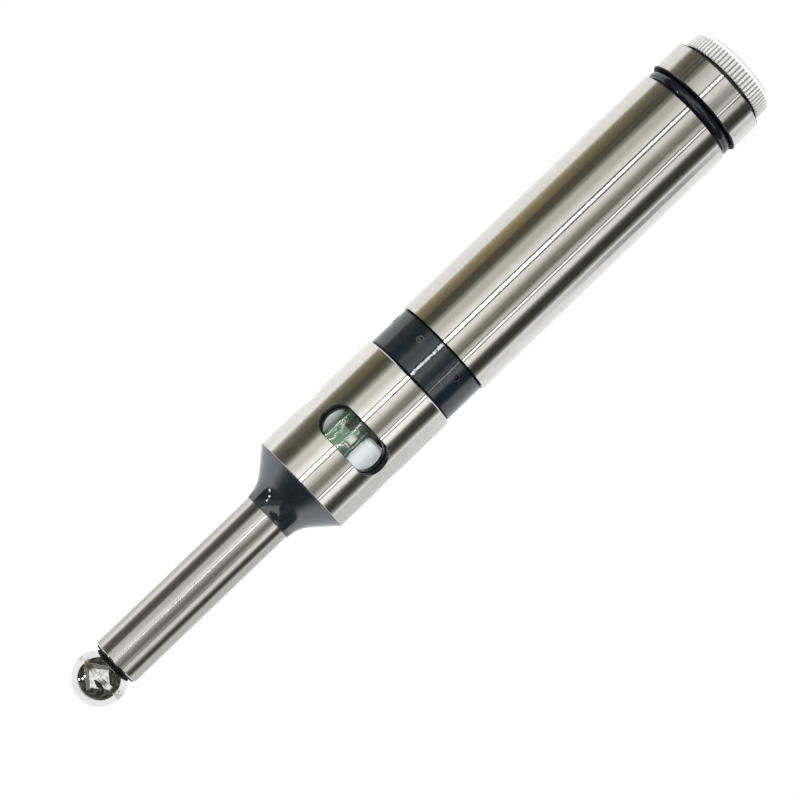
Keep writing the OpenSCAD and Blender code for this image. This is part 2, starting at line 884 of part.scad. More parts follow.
// Screw cap: threaded spigot, neck for the rubber ring, band, undercut and knurled head
module battery_cap() {
    color("#cccbc6") {
        turned([
            [pocket_r, spigot_end_z],
            [thread_r - edge_chamfer, spigot_end_z],
            [thread_r, spigot_end_z + edge_chamfer],
            [thread_r, spigot_end_z + low_land],
            [thread_root_r, spigot_end_z + low_land + thread_depth],
            [thread_root_r, spigot_top_z - top_land - thread_depth],
            [thread_r, spigot_top_z - top_land],
            [thread_r, spigot_top_z],
            [neck_r, spigot_top_z],
            [neck_r, cap_z],
            [shank_r - edge_chamfer, cap_z],
            [shank_r, cap_z + edge_chamfer],
            [shank_r, band_top_z - edge_chamfer],
            [shank_r - edge_chamfer, band_top_z],
            [undercut_r, band_top_z],
            [undercut_r, knurl_z],
            [0, knurl_z],
            [0, spigot_top_z],
            [pocket_r, spigot_top_z]
        ]);
        intersection() {
            translate([0, 0, knurl_z - over])
                linear_extrude(knurl_len + 2 * over)
                    polygon(knurl_points());
            turned([
                [0, knurl_z],
                [knurl_r - head_break, knurl_z],
                [knurl_r + tip_clear, knurl_z + head_break + tip_clear],
                [knurl_r + tip_clear, cap_top_z - head_chamfer_len - tip_clear_z],
                [knurl_r - head_chamfer_depth, cap_top_z],
                [0, cap_top_z]
            ]);
        }
    }
}

// Rubber ring squeezed between the shank and the cap
module cap_ring() {
    color("#17181a")
        intersection() {
            translate([0, 0, ring_z + ring_h / 2])
                rotate_extrude()
                    translate([ring_mid_r, 0])
                        circle(ring_wire_r);
            bar(shank_r, ring_z, cap_z);
        }
}

// Compression spring that presses on the battery
module battery_spring() {
    color("#bfc1c3")
        wire(battery_path, battery_wire_r);
}

// Brass washer between the spring and the cap
module contact_washer() {
    color("#c8a24a")
        tube(pocket_r - run_fit, washer_hole_r, washer_z, spigot_top_z);
}

shank_tube();
battery_liner();
battery();
terminal_disc();
contact_rod();
rod_sleeve();
collar_ring();
collar_screws();
window_housing();
window_liner();
lens_tube();
lamp_holder();
board_cap();
circuit_board();
board_chips();
board_transistor();
lamp_right();
lamp_left();
foot_contact();
nose_cone();
stylus_tube();
stylus_nut();
spring_anchor();
tension_spring();
ball_tip();
ball_stem();
battery_cap();
cap_ring();
battery_spring();
contact_washer();
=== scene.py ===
"""Looks, light and camera of the photoelectric edge finder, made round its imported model.

Sizes are in millimetres until a mesh is made. The axis of the edge finder is Z, its shoulder is
at the origin, the battery cap is up, and the first window faces -Y. The mirrored room is laid out
by its turn round the axis, from the camera to its right, and its climb above the level, in degrees.
"""

import json
import logging
import math
from dataclasses import dataclass
from enum import Enum
from typing import Any, ClassVar, Dict, List, Optional, Sequence, Tuple, Union

import bpy
from mathutils import Matrix, Vector

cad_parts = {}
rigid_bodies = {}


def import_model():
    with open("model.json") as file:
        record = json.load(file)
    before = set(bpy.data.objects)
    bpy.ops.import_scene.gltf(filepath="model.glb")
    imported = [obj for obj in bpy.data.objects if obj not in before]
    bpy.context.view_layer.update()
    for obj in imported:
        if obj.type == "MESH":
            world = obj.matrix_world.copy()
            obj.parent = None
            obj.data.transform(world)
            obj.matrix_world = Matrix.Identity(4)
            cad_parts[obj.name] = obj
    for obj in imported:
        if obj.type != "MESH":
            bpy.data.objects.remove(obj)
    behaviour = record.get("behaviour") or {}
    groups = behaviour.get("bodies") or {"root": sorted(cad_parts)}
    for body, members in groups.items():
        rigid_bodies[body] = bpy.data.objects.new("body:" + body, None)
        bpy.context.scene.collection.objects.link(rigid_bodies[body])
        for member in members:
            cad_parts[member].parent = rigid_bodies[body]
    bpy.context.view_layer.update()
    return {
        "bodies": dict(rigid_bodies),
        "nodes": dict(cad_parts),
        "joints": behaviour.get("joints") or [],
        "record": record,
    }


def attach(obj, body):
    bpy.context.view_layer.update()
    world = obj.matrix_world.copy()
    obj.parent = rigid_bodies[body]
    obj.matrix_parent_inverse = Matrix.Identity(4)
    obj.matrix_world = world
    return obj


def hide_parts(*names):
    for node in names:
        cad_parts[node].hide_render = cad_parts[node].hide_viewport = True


log = logging.getLogger("edge_finder")

MM = 0.001
DEGREES = 180 / math.pi
NOISE_MIDDLE = 0.5

Pair = Tuple[float, float]
Point = Tuple[float, float, float]
Colour = Tuple[float, float, float]
Route = Sequence[Pair]
Socket = bpy.types.NodeSocket
Paint = Union[Colour, Socket]

BLACK: Colour = (0.0, 0.0, 0.0)
WHITE: Colour = (1.0, 1.0, 1.0)
UP = Vector((0.0, 0.0, 1.0))


class Body(Enum):
    """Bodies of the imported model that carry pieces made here."""

    HOUSING = "housing"
    CAP_LIFT = "cap_lift"
    CAP = "cap"
    BALL_SPRING = "ball_spring"


class Slot(Enum):
    """Material slots of the record."""

    GROUND_STEEL = "ground_steel"
    BALL_STEEL = "ball_steel"
    PLAIN_STEEL = "plain_steel"
    SPRING_WIRE = "spring_wire"
    DARK_SCREW = "dark_screw"
    BLACK_PLASTIC = "black_plastic"
    BLACK_LINER = "black_liner"
    CLEAR_PLASTIC = "clear_plastic"
    BOARD_GREEN = "board_green"
    CHIP_BODY = "chip_body"
    TRANSISTOR_BODY = "transistor_body"
    LAMP_WHITE = "lamp_white"
    CONTACT_BRASS = "contact_brass"
    SLEEVE_PLASTIC = "sleeve_plastic"
    FIBRE_DISC = "fibre_disc"
    BATTERY_JACKET = "battery_jacket"
    RING_RUBBER = "ring_rubber"


class Blend(Enum):
    """Ways to blend two colours."""

    MIX = "MIX"
    MULTIPLY = "MULTIPLY"


class Value:
    """A number socket; arithmetic on it adds Math nodes to its sheet."""

    def __init__(self, sheet: "Sheet", socket: Socket) -> None:
        """Wraps a socket of the sheet's tree."""
        self.sheet = sheet
        self.socket = socket

    def __add__(self, other: "Number") -> "Value":
        """Sum."""
        return self.sheet.math("ADD", self, other)

    def __radd__(self, other: "Number") -> "Value":
        """Sum with the number first."""
        return self.sheet.math("ADD", other, self)

    def __sub__(self, other: "Number") -> "Value":
        """Difference."""
        return self.sheet.math("SUBTRACT", self, other)

    def __rsub__(self, other: "Number") -> "Value":
        """Difference with the number first."""
        return self.sheet.math("SUBTRACT", other, self)

    def __mul__(self, other: "Number") -> "Value":
        """Product."""
        return self.sheet.math("MULTIPLY", self, other)

    def __rmul__(self, other: "Number") -> "Value":
        """Product with the number first."""
        return self.sheet.math("MULTIPLY", other, self)

    def __truediv__(self, other: "Number") -> "Value":
        """Quotient."""
        return self.sheet.math("DIVIDE", self, other)

    def __rtruediv__(self, other: "Number") -> "Value":
        """Quotient with the number first."""
        return self.sheet.math("DIVIDE", other, self)

    def __abs__(self) -> "Value":
        """Size without its sign."""
        return self.sheet.math("ABSOLUTE", self)

    def swing(self, share: float) -> "Value":
        """A share of how far noise is off its middle."""
        return (self - NOISE_MIDDLE) * share


Number = Union[float, Value]


@dataclass(frozen=True)
class Grain:
    """Noise by its scale per millimetre, across the axis and along it, and its detail."""

    across: float
    along: float
    detail: float = 2.0
    rough: float = 0.5


def even(scale: float, detail: float = 2.0, rough: float = 0.5) -> Grain:
    """A grain of one scale in every direction."""
    return Grain(scale, scale, detail, rough)


@dataclass(frozen=True)
class Patches:
    """Patches that start where a noise is above one limit and are full above another."""

    grain: Grain
    low: float
    high: float


class Sheet:
    """A node tree, emptied, with one way to add a node."""

    def __init__(self, tree: bpy.types.NodeTree) -> None:
        """Empties the tree."""
        self.tree = tree
        self.tree.nodes.clear()

    def node(
        self,
        kind: str,
        settings: Optional[Dict[str, Any]] = None,
        sockets: Optional[Dict[Any, Any]] = None,
    ) -> bpy.types.Node:
        """Adds a node.

        Args:
            kind: the node's type.
            settings: its settings, which are set first; "stops" are a ramp's (place, colour) pairs.
            sockets: values or links of its input sockets, by name or number.

        Returns:
            The node.
        """
        node = self.tree.nodes.new(kind)
        for name, value in (settings or {}).items():
            if name == "stops":
                self._set_stops(node.color_ramp, value)
            else:
                setattr(node, name, value)
        for name, value in (sockets or {}).items():
            self._feed(node.inputs[name], value)
        return node

    def _set_stops(self, ramp: bpy.types.ColorRamp, stops: Sequence[Tuple[float, Colour]]) -> None:
        """Gives a ramp its stops.

        Args:
            ramp: the ramp.
            stops: place and colour of each stop, in order.
        """
        while len(ramp.elements) < len(stops):
            ramp.elements.new(1.0)
        for element, (place, colour) in zip(ramp.elements, stops):
            element.position = place
            element.color = (*colour, 1.0)

    def _feed(self, socket: Socket, value: Any) -> None:
        """Links or sets an input socket.

        Args:
            socket: the input socket.
            value: a socket or Value to link, or a number, colour or vector to set.
        """
        source = value.socket if isinstance(value, Value) else value
        if isinstance(source, Socket):
            self.tree.links.new(source, socket)
        elif socket.type == "RGBA" and len(source) == 3:
            socket.default_value = (*source, 1.0)
        else:
            socket.default_value = source

    def math(self, operation: str, *values: Number, clamp: bool = False) -> Value:
        """Works out a number in a Math node.

        Args:
            operation: the node's operation.
            values: the numbers that it works on.
            clamp: whether the result is kept between 0 and 1.

        Returns:
            The result.
        """
        settings = {"operation": operation, "use_clamp": clamp}
        node = self.node("ShaderNodeMath", settings, dict(enumerate(values)))
        return Value(self, node.outputs[0])

    def limited(self, value: Number) -> Value:
        """A value kept between 0 and 1."""
        return self.math("ADD", value, 0.0, clamp=True)

    def length(self, a: Value, b: Value) -> Value:
        """The length of two legs at a right angle."""
        return self.math("SQRT", a * a + b * b)

    def step(self, value: Number, low: float, high: float) -> Value:
        """Steps smoothly from 0 to 1.

        Args:
            value: the number that is tested.
            low: where the step is still 0.
            high: where the step reaches 1; it may be the smaller.

        Returns:
            The step.
        """
        sockets = {"Value": value, "From Min": low, "From Max": high}
        node = self.node("ShaderNodeMapRange", {"interpolation_type": "SMOOTHSTEP"}, sockets)
        return Value(self, node.outputs["Result"])

    def edge(self, value: Number, at: float, soft: float) -> Value:
        """A step from 0 below a limit to 1 above it, or from 1 to 0 with a softness below 0."""
        return self.step(value, at - soft, at + soft)

    def between(self, value: Number, limits: Pair, soft: float) -> Value:
        """1 between two limits and 0 outside them, with soft edges."""
        return self.edge(value, limits[0], soft) * self.edge(value, limits[1], -soft)

    def mix(self, factor: Number, first: Paint, second: Paint, blend: Blend = Blend.MIX) -> Socket:
        """Blends two colours.

        Args:
            factor: how much of the second there is.
            first: the colour where the factor is 0.
            second: the colour that is blended in.
            blend: the way that it is blended.

        Returns:
            The blend.
        """
        settings = {"data_type": "RGBA", "blend_type": blend.value}
        return self.node("ShaderNodeMix", settings, {0: factor, 6: first, 7: second}).outputs[2]

    def tinted(self, colour: Paint, level: Number) -> Socket:
        """A colour made lighter or darker by a level."""
        node = self.node("ShaderNodeVectorMath", {"operation": "SCALE"}, {0: colour, "Scale": level})
        return node.outputs[0]

    def cover(self, mask: Number, below: Socket, above: Socket) -> Socket:
        """One surface on top of another where a mask is 1."""
        return self.node("ShaderNodeMixShader", {}, {0: mask, 1: below, 2: above}).outputs[0]

    def grain(self, place: Socket, grain: Grain) -> Value:
        """Makes noise, which lies between about 0.25 and 0.75.

        Args:
            place: where it is looked up.
            grain: its scales and detail.

        Returns:
            The noise.
        """
        stretch = (grain.across, grain.across, grain.along)
        spread = self.node("ShaderNodeVectorMath", {"operation": "MULTIPLY"}, {0: place, 1: stretch})
        sockets = {"Vector": spread.outputs[0], "Scale": 1.0, "Detail": grain.detail}
        sockets["Roughness"] = grain.rough
        return Value(self, self.node("ShaderNodeTexNoise", {}, sockets).outputs[0])

    def patches(self, place: Socket, patches: Patches) -> Value:
        """1 inside patches of noise and 0 between them."""
        return self.step(self.grain(place, patches.grain), patches.low, patches.high)

    def place(self) -> Socket:
        """The place on the piece in the frame, in millimetres."""
        return self.tinted(self.node("ShaderNodeTexCoord").outputs["Object"], 1 / MM)

    def axes(self, vector: Socket) -> Tuple[Value, Value, Value]:
        """The three parts of a vector."""
        node = self.node("ShaderNodeSeparateXYZ", {}, {0: vector})
        return tuple(Value(self, output) for output in node.outputs)

    def vector(self, x: Number, y: Number, z: Number) -> Socket:
        """A vector of three parts."""
        return self.node("ShaderNodeCombineXYZ", {}, {0: x, 1: y, 2: z}).outputs[0]

    def dot(self, first: Socket, second: Union[Point, Socket]) -> Value:
        """The dot product of two vectors."""
        node = self.node("ShaderNodeVectorMath", {"operation": "DOT_PRODUCT"}, {0: first, 1: second})
        return Value(self, node.outputs["Value"])

    def radius(self, place: Socket) -> Value:
        """Distance from the axis of the edge finder."""
        x, y, _ = self.axes(place)
        return self.length(x, y)

    def bump(self, height: Number, distance: float, normal: Optional[Socket] = None) -> Socket:
        """Makes a normal from a height.

        Args:
            height: the height, from about 0 to 1.
            distance: how high 1 is, in millimetres.
            normal: the normal that it is laid on, if not the surface's own.

        Returns:
            The normal.
        """
        sockets = {"Distance": distance * MM, "Height": height}
        if normal is not None:
            sockets["Normal"] = normal
        return self.node("ShaderNodeBump", {}, sockets).outputs[0]

    def glossy(self, **sockets: Any) -> Socket:
        """A Principled surface; underscores stand for the spaces in its sockets' names."""
        named = {name.replace("_", " "): value for name, value in sockets.items()}
        return self.node("ShaderNodeBsdfPrincipled", {}, named).outputs[0]


@dataclass(frozen=True)
class Finish:
    """A finish of the edge finder, which takes one of the record's slots."""

    name: str
    slot: Slot

    def surface(self, sheet: Sheet) -> Socket:
        """Makes the shader; each finish has its own."""
        raise NotImplementedError(self.name)

    def material(self) -> bpy.types.Material:
        """Makes the finish as a material, once.

        Returns:
            The material of this name.
        """
        known = bpy.data.materials.get(self.name)
        if known:
            return known
        material = bpy.data.materials.new(self.name)
        material.use_nodes = True
        sheet = Sheet(material.node_tree)
        sheet.node("ShaderNodeOutputMaterial", {}, {"Surface": self.surface(sheet)})
        return material


@dataclass(frozen=True)
class JointShade:
    """A joint between two heights, inside a radius, where the steel is darkened as painted shade."""

    low: float
    high: float
    inside: float = 10.2


@dataclass(frozen=True)
class GroundSteel(Finish):
    """Steel ground on centres: fine lines round the axis, faint smears, a few long scratches and
    painted shade in its joints.
    """

    tint: Colour = (0.67, 0.665, 0.65)
    smeared: Colour = (1.0, 0.98, 0.93)
    rough: float = 0.1
    lines: Grain = Grain(0.012, 5.0, 3.0, 0.6)
    line_rise: float = 0.0003
    bands: Grain = Grain(0.03, 0.9)
    waves: Grain = Grain(0.25, 0.16, 1.0)
    wave_rise: float = 0.006
    wander: Grain = even(0.35)
    smears: Patches = Patches(even(0.22, 4.0, 0.6), 0.5, 0.72)
    scratches: Grain = Grain(2.2, 0.12, 1.0)
    scratch_half: float = 0.006
    scratched: Pair = (0.5, 0.62)
    joint_shade: Tuple[JointShade, ...] = ()
    soft: float = 0.06
    ragged: Grain = even(1.6)
    ragged_by: float = 0.12
    # A dark, dull surface laid in the joints as painted shade.
    painted_shade: Colour = (0.012, 0.012, 0.013)
    painted_shade_rough: float = 0.85
    painted_shade_depth: float = 0.8
    along_axis: float = 0.25

    def _shade_in_joints(self, sheet: Sheet, place: Socket, z: Value) -> Value:
        """Finds where painted shade darkens the joints.

        Args:
            sheet: the material's nodes.
            place: the place on the piece.
            z: its height.

        Returns:
            The depth of the painted shade where it sits, and 0 on clean steel.
        """
        painted_shade: Number = 0.0
        r = sheet.radius(place)
        height = z + sheet.grain(place, self.ragged).swing(self.ragged_by)
        for joint in self.joint_shade:
            here = sheet.between(height, (joint.low, joint.high), self.soft)
            painted_shade = here * sheet.edge(r, joint.inside, -self.soft) + painted_shade
        return sheet.limited(painted_shade * self.painted_shade_depth)

    def surface(self, sheet: Sheet) -> Socket:
        """Ground lines in colour, gloss and height; they blur reflections along the axis only.

        Args:
            sheet: the material's nodes.

        Returns:
            The shader.
        """
        place = sheet.place()
        _, _, z = sheet.axes(place)
        wander = sheet.grain(place, self.wander)
        line = sheet.grain(place, self.lines)
        band = sheet.grain(place, self.bands)
        wave = sheet.grain(place, self.waves)
        smear = sheet.patches(place, self.smears)
        scratch = abs(sheet.grain(place, self.scratches) - NOISE_MIDDLE)
        nick = sheet.step(scratch, self.scratch_half, 0.0) * sheet.step(wander, *self.scratched)
        level = 0.95 + line.swing(0.14) + band.swing(0.08) + wander * 0.08 - nick * 0.08
        warm = tuple(part * share for part, share in zip(self.tint, self.smeared))
        ground = sheet.bump(line + band * 0.5 - nick * 0.6, self.line_rise)
        bright = sheet.glossy(
            Base_Color=sheet.tinted(sheet.mix(smear * 0.5, self.tint, warm), level),
            Metallic=1.0,
            Roughness=self.rough + line.swing(0.04) + smear * 0.03 + nick * 0.12,
            Anisotropic=1.0,
            Anisotropic_Rotation=self.along_axis,
            Normal=sheet.bump(wave, self.wave_rise, ground),
        )
        # Painted shade: a dark, dull surface over the steel in its joints.
        dull = sheet.glossy(
            Base_Color=sheet.tinted(self.painted_shade, 0.5 + wander),
            Roughness=self.painted_shade_rough + wander.swing(0.2),
            Specular_IOR_Level=0.1,
            Normal=sheet.bump(wander, 0.01),
        )
        return sheet.cover(self._shade_in_joints(sheet, place, z), bright, dull)


@dataclass(frozen=True)
class WindowSteel(GroundSteel):
    """Ground steel that is near-black on its window walls and bore."""

    black: Colour = (0.008, 0.0085, 0.009)
    grains: Grain = even(4.0, 3.0)
    skin_r: float = 9.93
    skin_soft: float = 0.02
    black_low: float = -34.6
    black_high: float = -13.9
    black_fade: float = 0.1

    def surface(self, sheet: Sheet) -> Socket:
        """Steel on the outside and black inside the windows.

        Args:
            sheet: the material's nodes.

        Returns:
            The shader.
        """
        steel = super().surface(sheet)
        place = sheet.place()
        _, _, z = sheet.axes(place)
        inner = sheet.edge(sheet.radius(place), self.skin_r, -self.skin_soft)
        span = sheet.step(z, self.black_low - self.black_fade, self.black_low)
        span = span * sheet.step(z, self.black_high + self.black_fade, self.black_high)
        grain = sheet.grain(place, self.grains)
        black = sheet.glossy(
            Base_Color=sheet.tinted(self.black, 0.6 + grain * 0.8),
            Roughness=0.22 + grain * 0.2,
            Specular_IOR_Level=0.25,
            Normal=sheet.bump(grain, 0.01),
        )
        return sheet.cover(inner * span, steel, black)


@dataclass(frozen=True)
class CapSteel(GroundSteel):
    """The cap's turned steel, with a satin silver knurl above its undercut."""

    satin: Colour = (0.86, 0.86, 0.855)
    grains: Grain = even(6.0, 3.0)
    rings: Grain = even(2.4, 3.0)
    head_z: float = 68.12
    head_soft: float = 0.03
    root_r: float = 8.64
    crest_r: float = 8.86
    teeth_top: float = 70.9
    teeth_fade: float = 0.1
    face_z: float = 71.7
    face_soft: float = 0.2

    def surface(self, sheet: Sheet) -> Socket:
        """Turned steel below and satin silver above, with painted shade between the teeth and on the
        top face, which has turning rings.

        Args:
            sheet: the material's nodes.

        Returns:
            The shader.
        """
        steel = super().surface(sheet)
        place = sheet.place()
        _, _, z = sheet.axes(place)
        r = sheet.radius(place)
        crest = sheet.step(r, self.root_r, self.crest_r)
        # Painted shade: darker between the teeth, and darker on the top face, whose rings are turning
        # marks.
        painted_groove_shade = (1.0 - crest) * sheet.step(z, self.teeth_top + self.teeth_fade, self.teeth_top)
        grain = sheet.grain(place, self.grains)
        face = sheet.edge(z, self.face_z, self.face_soft)
        ring = sheet.grain(sheet.vector(r, 0.0, 0.0), self.rings)
        tone = (1.0 - painted_groove_shade * 0.7) * (0.94 + grain * 0.12) * (1.0 - face * (0.3 + ring * 0.3))
        satin = sheet.glossy(
            Base_Color=sheet.tinted(self.satin, tone),
            Metallic=0.2,
            Roughness=0.45 + grain.swing(0.1),
            Normal=sheet.bump(grain + ring * face, 0.01),
        )
        return sheet.cover(sheet.edge(z, self.head_z, self.head_soft), steel, satin)


@dataclass(frozen=True)
class PolishedSteel(Finish):
    """Lapped bearing steel with hair scratches and finger haze."""

    tint: Colour = (0.72, 0.72, 0.715)
    rough: float = 0.03
    hazes: Grain = even(0.6, 3.0)
    hazy: Pair = (0.45, 0.75)
    hairs: Grain = even(3.0, 3.0)
    hair_half: float = 0.012

    def surface(self, sheet: Sheet) -> Socket:
        """A mirror with a little haze.

        Args:
            sheet: the material's nodes.

        Returns:
            The shader.
        """
        place = sheet.place()
        x, _, _ = sheet.axes(place)
        haze = sheet.grain(place, self.hazes)
        hair = sheet.grain(sheet.vector(haze * 9.0, x * 0.6, 0.0), self.hairs)
        line = sheet.step(abs(hair - NOISE_MIDDLE), self.hair_half, 0.0)
        return sheet.glossy(
            Base_Color=sheet.tinted(self.tint, 0.96 + haze * 0.08 - line * 0.05),
            Metallic=1.0,
            Roughness=self.rough + sheet.step(haze, *self.hazy) * 0.05 + line * 0.04,
            Normal=sheet.bump(hair, 0.0004),
        )


@dataclass(frozen=True)
class PlainMetal(Finish):
    """Turned or drawn metal of the small parts, a little dull in places."""

    tint: Colour = (0.52, 0.52, 0.51)
    dull: Colour = (0.33, 0.32, 0.31)
    rough: float = 0.28
    tools: Grain = Grain(0.4, 6.0, 3.0)
    tarnishes: Patches = Patches(even(0.9, 4.0, 0.6), 0.42, 0.7)
    rise: float = 0.004

    def surface(self, sheet: Sheet) -> Socket:
        """Metal with tool lines and tarnish.

        Args:
            sheet: the material's nodes.

        Returns:
            The shader.
        """
        place = sheet.place()
        tool = sheet.grain(place, self.tools)
        tarnish = sheet.patches(place, self.tarnishes)
        colour = sheet.mix(tarnish * 0.6, self.tint, self.dull)
        return sheet.glossy(
            Base_Color=sheet.tinted(colour, 0.85 + tool * 0.3),
            Metallic=1.0,
            Roughness=self.rough + tarnish * 0.16 + tool.swing(0.1),
            Normal=sheet.bump(tool + tarnish * 0.3, self.rise),
        )


@dataclass(frozen=True)
class BlackGloss(Finish):
    """Glossy black of the collar and the nose, with turning lines, lint and rubbed edges.

    Each of its edges is the (radius, height) of a rim that is rubbed.
    """

    tint: Colour = (0.007, 0.0135, 0.02)
    rubbed: Colour = (0.045, 0.052, 0.06)
    rough: float = 0.075
    ior: float = 1.68
    edges: Tuple[Pair, ...] = ()
    rub_reach: float = 0.22
    rub_core: float = 0.04
    rub_depth: float = 0.7
    lint_depth: float = 0.25
    lines: Grain = Grain(0.1, 4.0, 3.0)
    mottles: Grain = even(0.8, 4.0, 0.6)
    mottle_rise: float = 0.018
    lints: Patches = Patches(even(3.2), 0.68, 0.74)

    def surface(self, sheet: Sheet) -> Socket:
        """Black with fine lines round the axis and pale rims.

        Args:
            sheet: the material's nodes.

        Returns:
            The shader.
        """
        place = sheet.place()
        x, y, z = sheet.axes(place)
        r = sheet.radius(place)
        line = sheet.grain(sheet.vector(x, y, z + r), self.lines)
        mottle = sheet.grain(place, self.mottles)
        rub = sheet.patches(place, self.lints) * self.lint_depth
        for edge_r, edge_z in self.edges:
            off = sheet.length(r - edge_r, z - edge_z) + mottle.swing(0.25)
            rub = rub + sheet.step(off, self.rub_reach, self.rub_core) * self.rub_depth
        rub = sheet.limited(rub)
        return sheet.glossy(
            Base_Color=sheet.mix(rub, sheet.tinted(self.tint, 0.7 + mottle * 0.6), self.rubbed),
            Roughness=self.rough + mottle.swing(0.06) + line.swing(0.04) + rub * 0.2,
            IOR=self.ior,
            Normal=sheet.bump(line * 0.2 + mottle, self.mottle_rise),
        )


@dataclass(frozen=True)
class Moulded(Finish):
    """Moulded plastic or pressed fibre with grain and a slow change of colour."""

    tint: Colour = (0.5, 0.5, 0.48)
    shade: Colour = (0.4, 0.4, 0.38)
    rough: float = 0.45
    shine: float = 0.5
    grains: Grain = even(5.0, 4.0, 0.6)
    clouds: Grain = even(0.5)
    shaded: Pair = (0.38, 0.62)
    rise: float = 0.01

    def surface(self, sheet: Sheet) -> Socket:
        """Grain in colour, gloss and height.

        Args:
            sheet: the material's nodes.

        Returns:
            The shader.
        """
        place = sheet.place()
        grain = sheet.grain(place, self.grains)
        cloud = sheet.grain(place, self.clouds)
        shaded = sheet.step(grain * 0.5 + cloud * 0.5, *self.shaded)
        return sheet.glossy(
            Base_Color=sheet.mix(shaded, self.tint, self.shade),
            Roughness=self.rough + grain.swing(0.2),
            Specular_IOR_Level=self.shine,
            Normal=sheet.bump(grain, self.rise),
        )


@dataclass(frozen=True)
class ClearPlastic(Finish):
    """Clear tube with mirror-like gloss, faint drawing lines and dust."""

    tint: Colour = (0.975, 0.99, 0.985)
    mirror: Colour = (0.93, 0.95, 0.96)
    gloss: float = 0.028
    rough: float = 0.03
    lines: Grain = Grain(0.0, 3.0)
    dusts: Patches = Patches(even(2.6, 3.0), 0.66, 0.74)
    slant_gloss: float = 0.8
    dust_gloss: float = 0.06

    def surface(self, sheet: Sheet) -> Socket:
        """See-through plastic whose gloss grows at a slant.

        Args:
            sheet: the material's nodes.

        Returns:
            The shader.
        """
        place = sheet.place()
        line = sheet.grain(place, self.lines)
        dust = sheet.patches(place, self.dusts)
        slant = Value(sheet, sheet.node("ShaderNodeLayerWeight", {}, {"Blend": 0.5}).outputs["Facing"])
        clear = sheet.node("ShaderNodeBsdfTransparent", {}, {"Color": self.tint}).outputs[0]
        shine = sheet.glossy(
            Base_Color=self.mirror,
            Metallic=1.0,
            Roughness=self.rough + dust * 0.2 + line.swing(0.02),
            Normal=sheet.bump(line, 0.002),
        )
        steep = slant * slant
        at_slant = steep * steep * slant * self.slant_gloss
        factor = sheet.limited(self.gloss + at_slant + dust * self.dust_gloss)
        return sheet.cover(factor, clear, shine)


@dataclass(frozen=True)
class Laminate(Finish):
    """Green solder mask, pale left of an edge and dark right of it, with a pale cut edge."""

    mask: Colour = (0.17, 0.4, 0.19)
    deep: Colour = (0.09, 0.29, 0.13)
    dark_side: Colour = (0.05, 0.1, 0.085)
    cut: Colour = (0.36, 0.38, 0.2)
    face_y: float = 0.385
    face_depth: float = 0.03
    dark_edge_x: float = 0.25
    dark_edge_soft: float = 0.06
    threads: float = 21.0
    clouds: Grain = even(0.7, 3.0)
    cloudy: Pair = (0.35, 0.65)

    def surface(self, sheet: Sheet) -> Socket:
        """Mask on the faces with a woven ground showing through.

        Args:
            sheet: the material's nodes.

        Returns:
            The shader.
        """
        place = sheet.place()
        x, y, z = sheet.axes(place)
        warp = sheet.math("SINE", x * self.threads)
        weft = sheet.math("SINE", z * self.threads)
        weave = warp * weft * 0.5 + 0.5
        cloud = sheet.grain(place, self.clouds)
        face = sheet.step(abs(y), self.face_y - self.face_depth, self.face_y)
        green = sheet.mix(sheet.step(cloud, *self.cloudy) * 0.7 + weave * 0.2, self.mask, self.deep)
        # Right of the edge the board is drawn dark.
        right_of_edge = sheet.edge(x + cloud.swing(0.6), self.dark_edge_x, self.dark_edge_soft)
        green = sheet.mix(right_of_edge, green, sheet.tinted(self.dark_side, 0.7 + weave * 0.6))
        return sheet.glossy(
            Base_Color=sheet.mix(face, self.cut, green),
            Roughness=0.2 + cloud * 0.2 + weave * 0.05,
            Normal=sheet.bump(weave * 0.4 + cloud * 0.6, 0.006),
        )


@dataclass(frozen=True)
class TrackCoat(Finish):
    """Copper track under the solder mask, lighter than the bare board."""

    tint: Colour = (0.4, 0.54, 0.42)
    shade: Colour = (0.17, 0.28, 0.2)
    pools: Grain = even(1.8, 3.0)
    pooled: Pair = (0.36, 0.64)

    def surface(self, sheet: Sheet) -> Socket:
        """Pale green gloss with pooled coating.

        Args:
            sheet: the material's nodes.

        Returns:
            The shader.
        """
        pool = sheet.grain(sheet.place(), self.pools)
        return sheet.glossy(
            Base_Color=sheet.mix(sheet.step(pool, *self.pooled), self.tint, self.shade),
            Roughness=0.16 + pool * 0.16,
            Normal=sheet.bump(pool, 0.02),
        )


@dataclass(frozen=True)
class Solder(Finish):
    """Tinned pads and solder joints, bright with dull flux patches."""

    tint: Colour = (0.86, 0.86, 0.84)
    flux: Colour = (0.34, 0.25, 0.16)
    wrinkles: Grain = even(3.2, 4.0, 0.6)
    stains: Patches = Patches(even(1.1, 3.0), 0.52, 0.66)

    def surface(self, sheet: Sheet) -> Socket:
        """Wrinkled solder with flux in its hollows.

        Args:
            sheet: the material's nodes.

        Returns:
            The shader.
        """
        place = sheet.place()
        wrinkle = sheet.grain(place, self.wrinkles)
        stain = sheet.patches(place, self.stains)
        return sheet.glossy(
            Base_Color=sheet.mix(stain * 0.6, sheet.tinted(self.tint, 0.8 + wrinkle * 0.4), self.flux),
            Metallic=0.7 - stain * 0.4,
            Roughness=0.18 + stain * 0.3 + wrinkle * 0.12,
            Normal=sheet.bump(wrinkle, 0.03),
        )


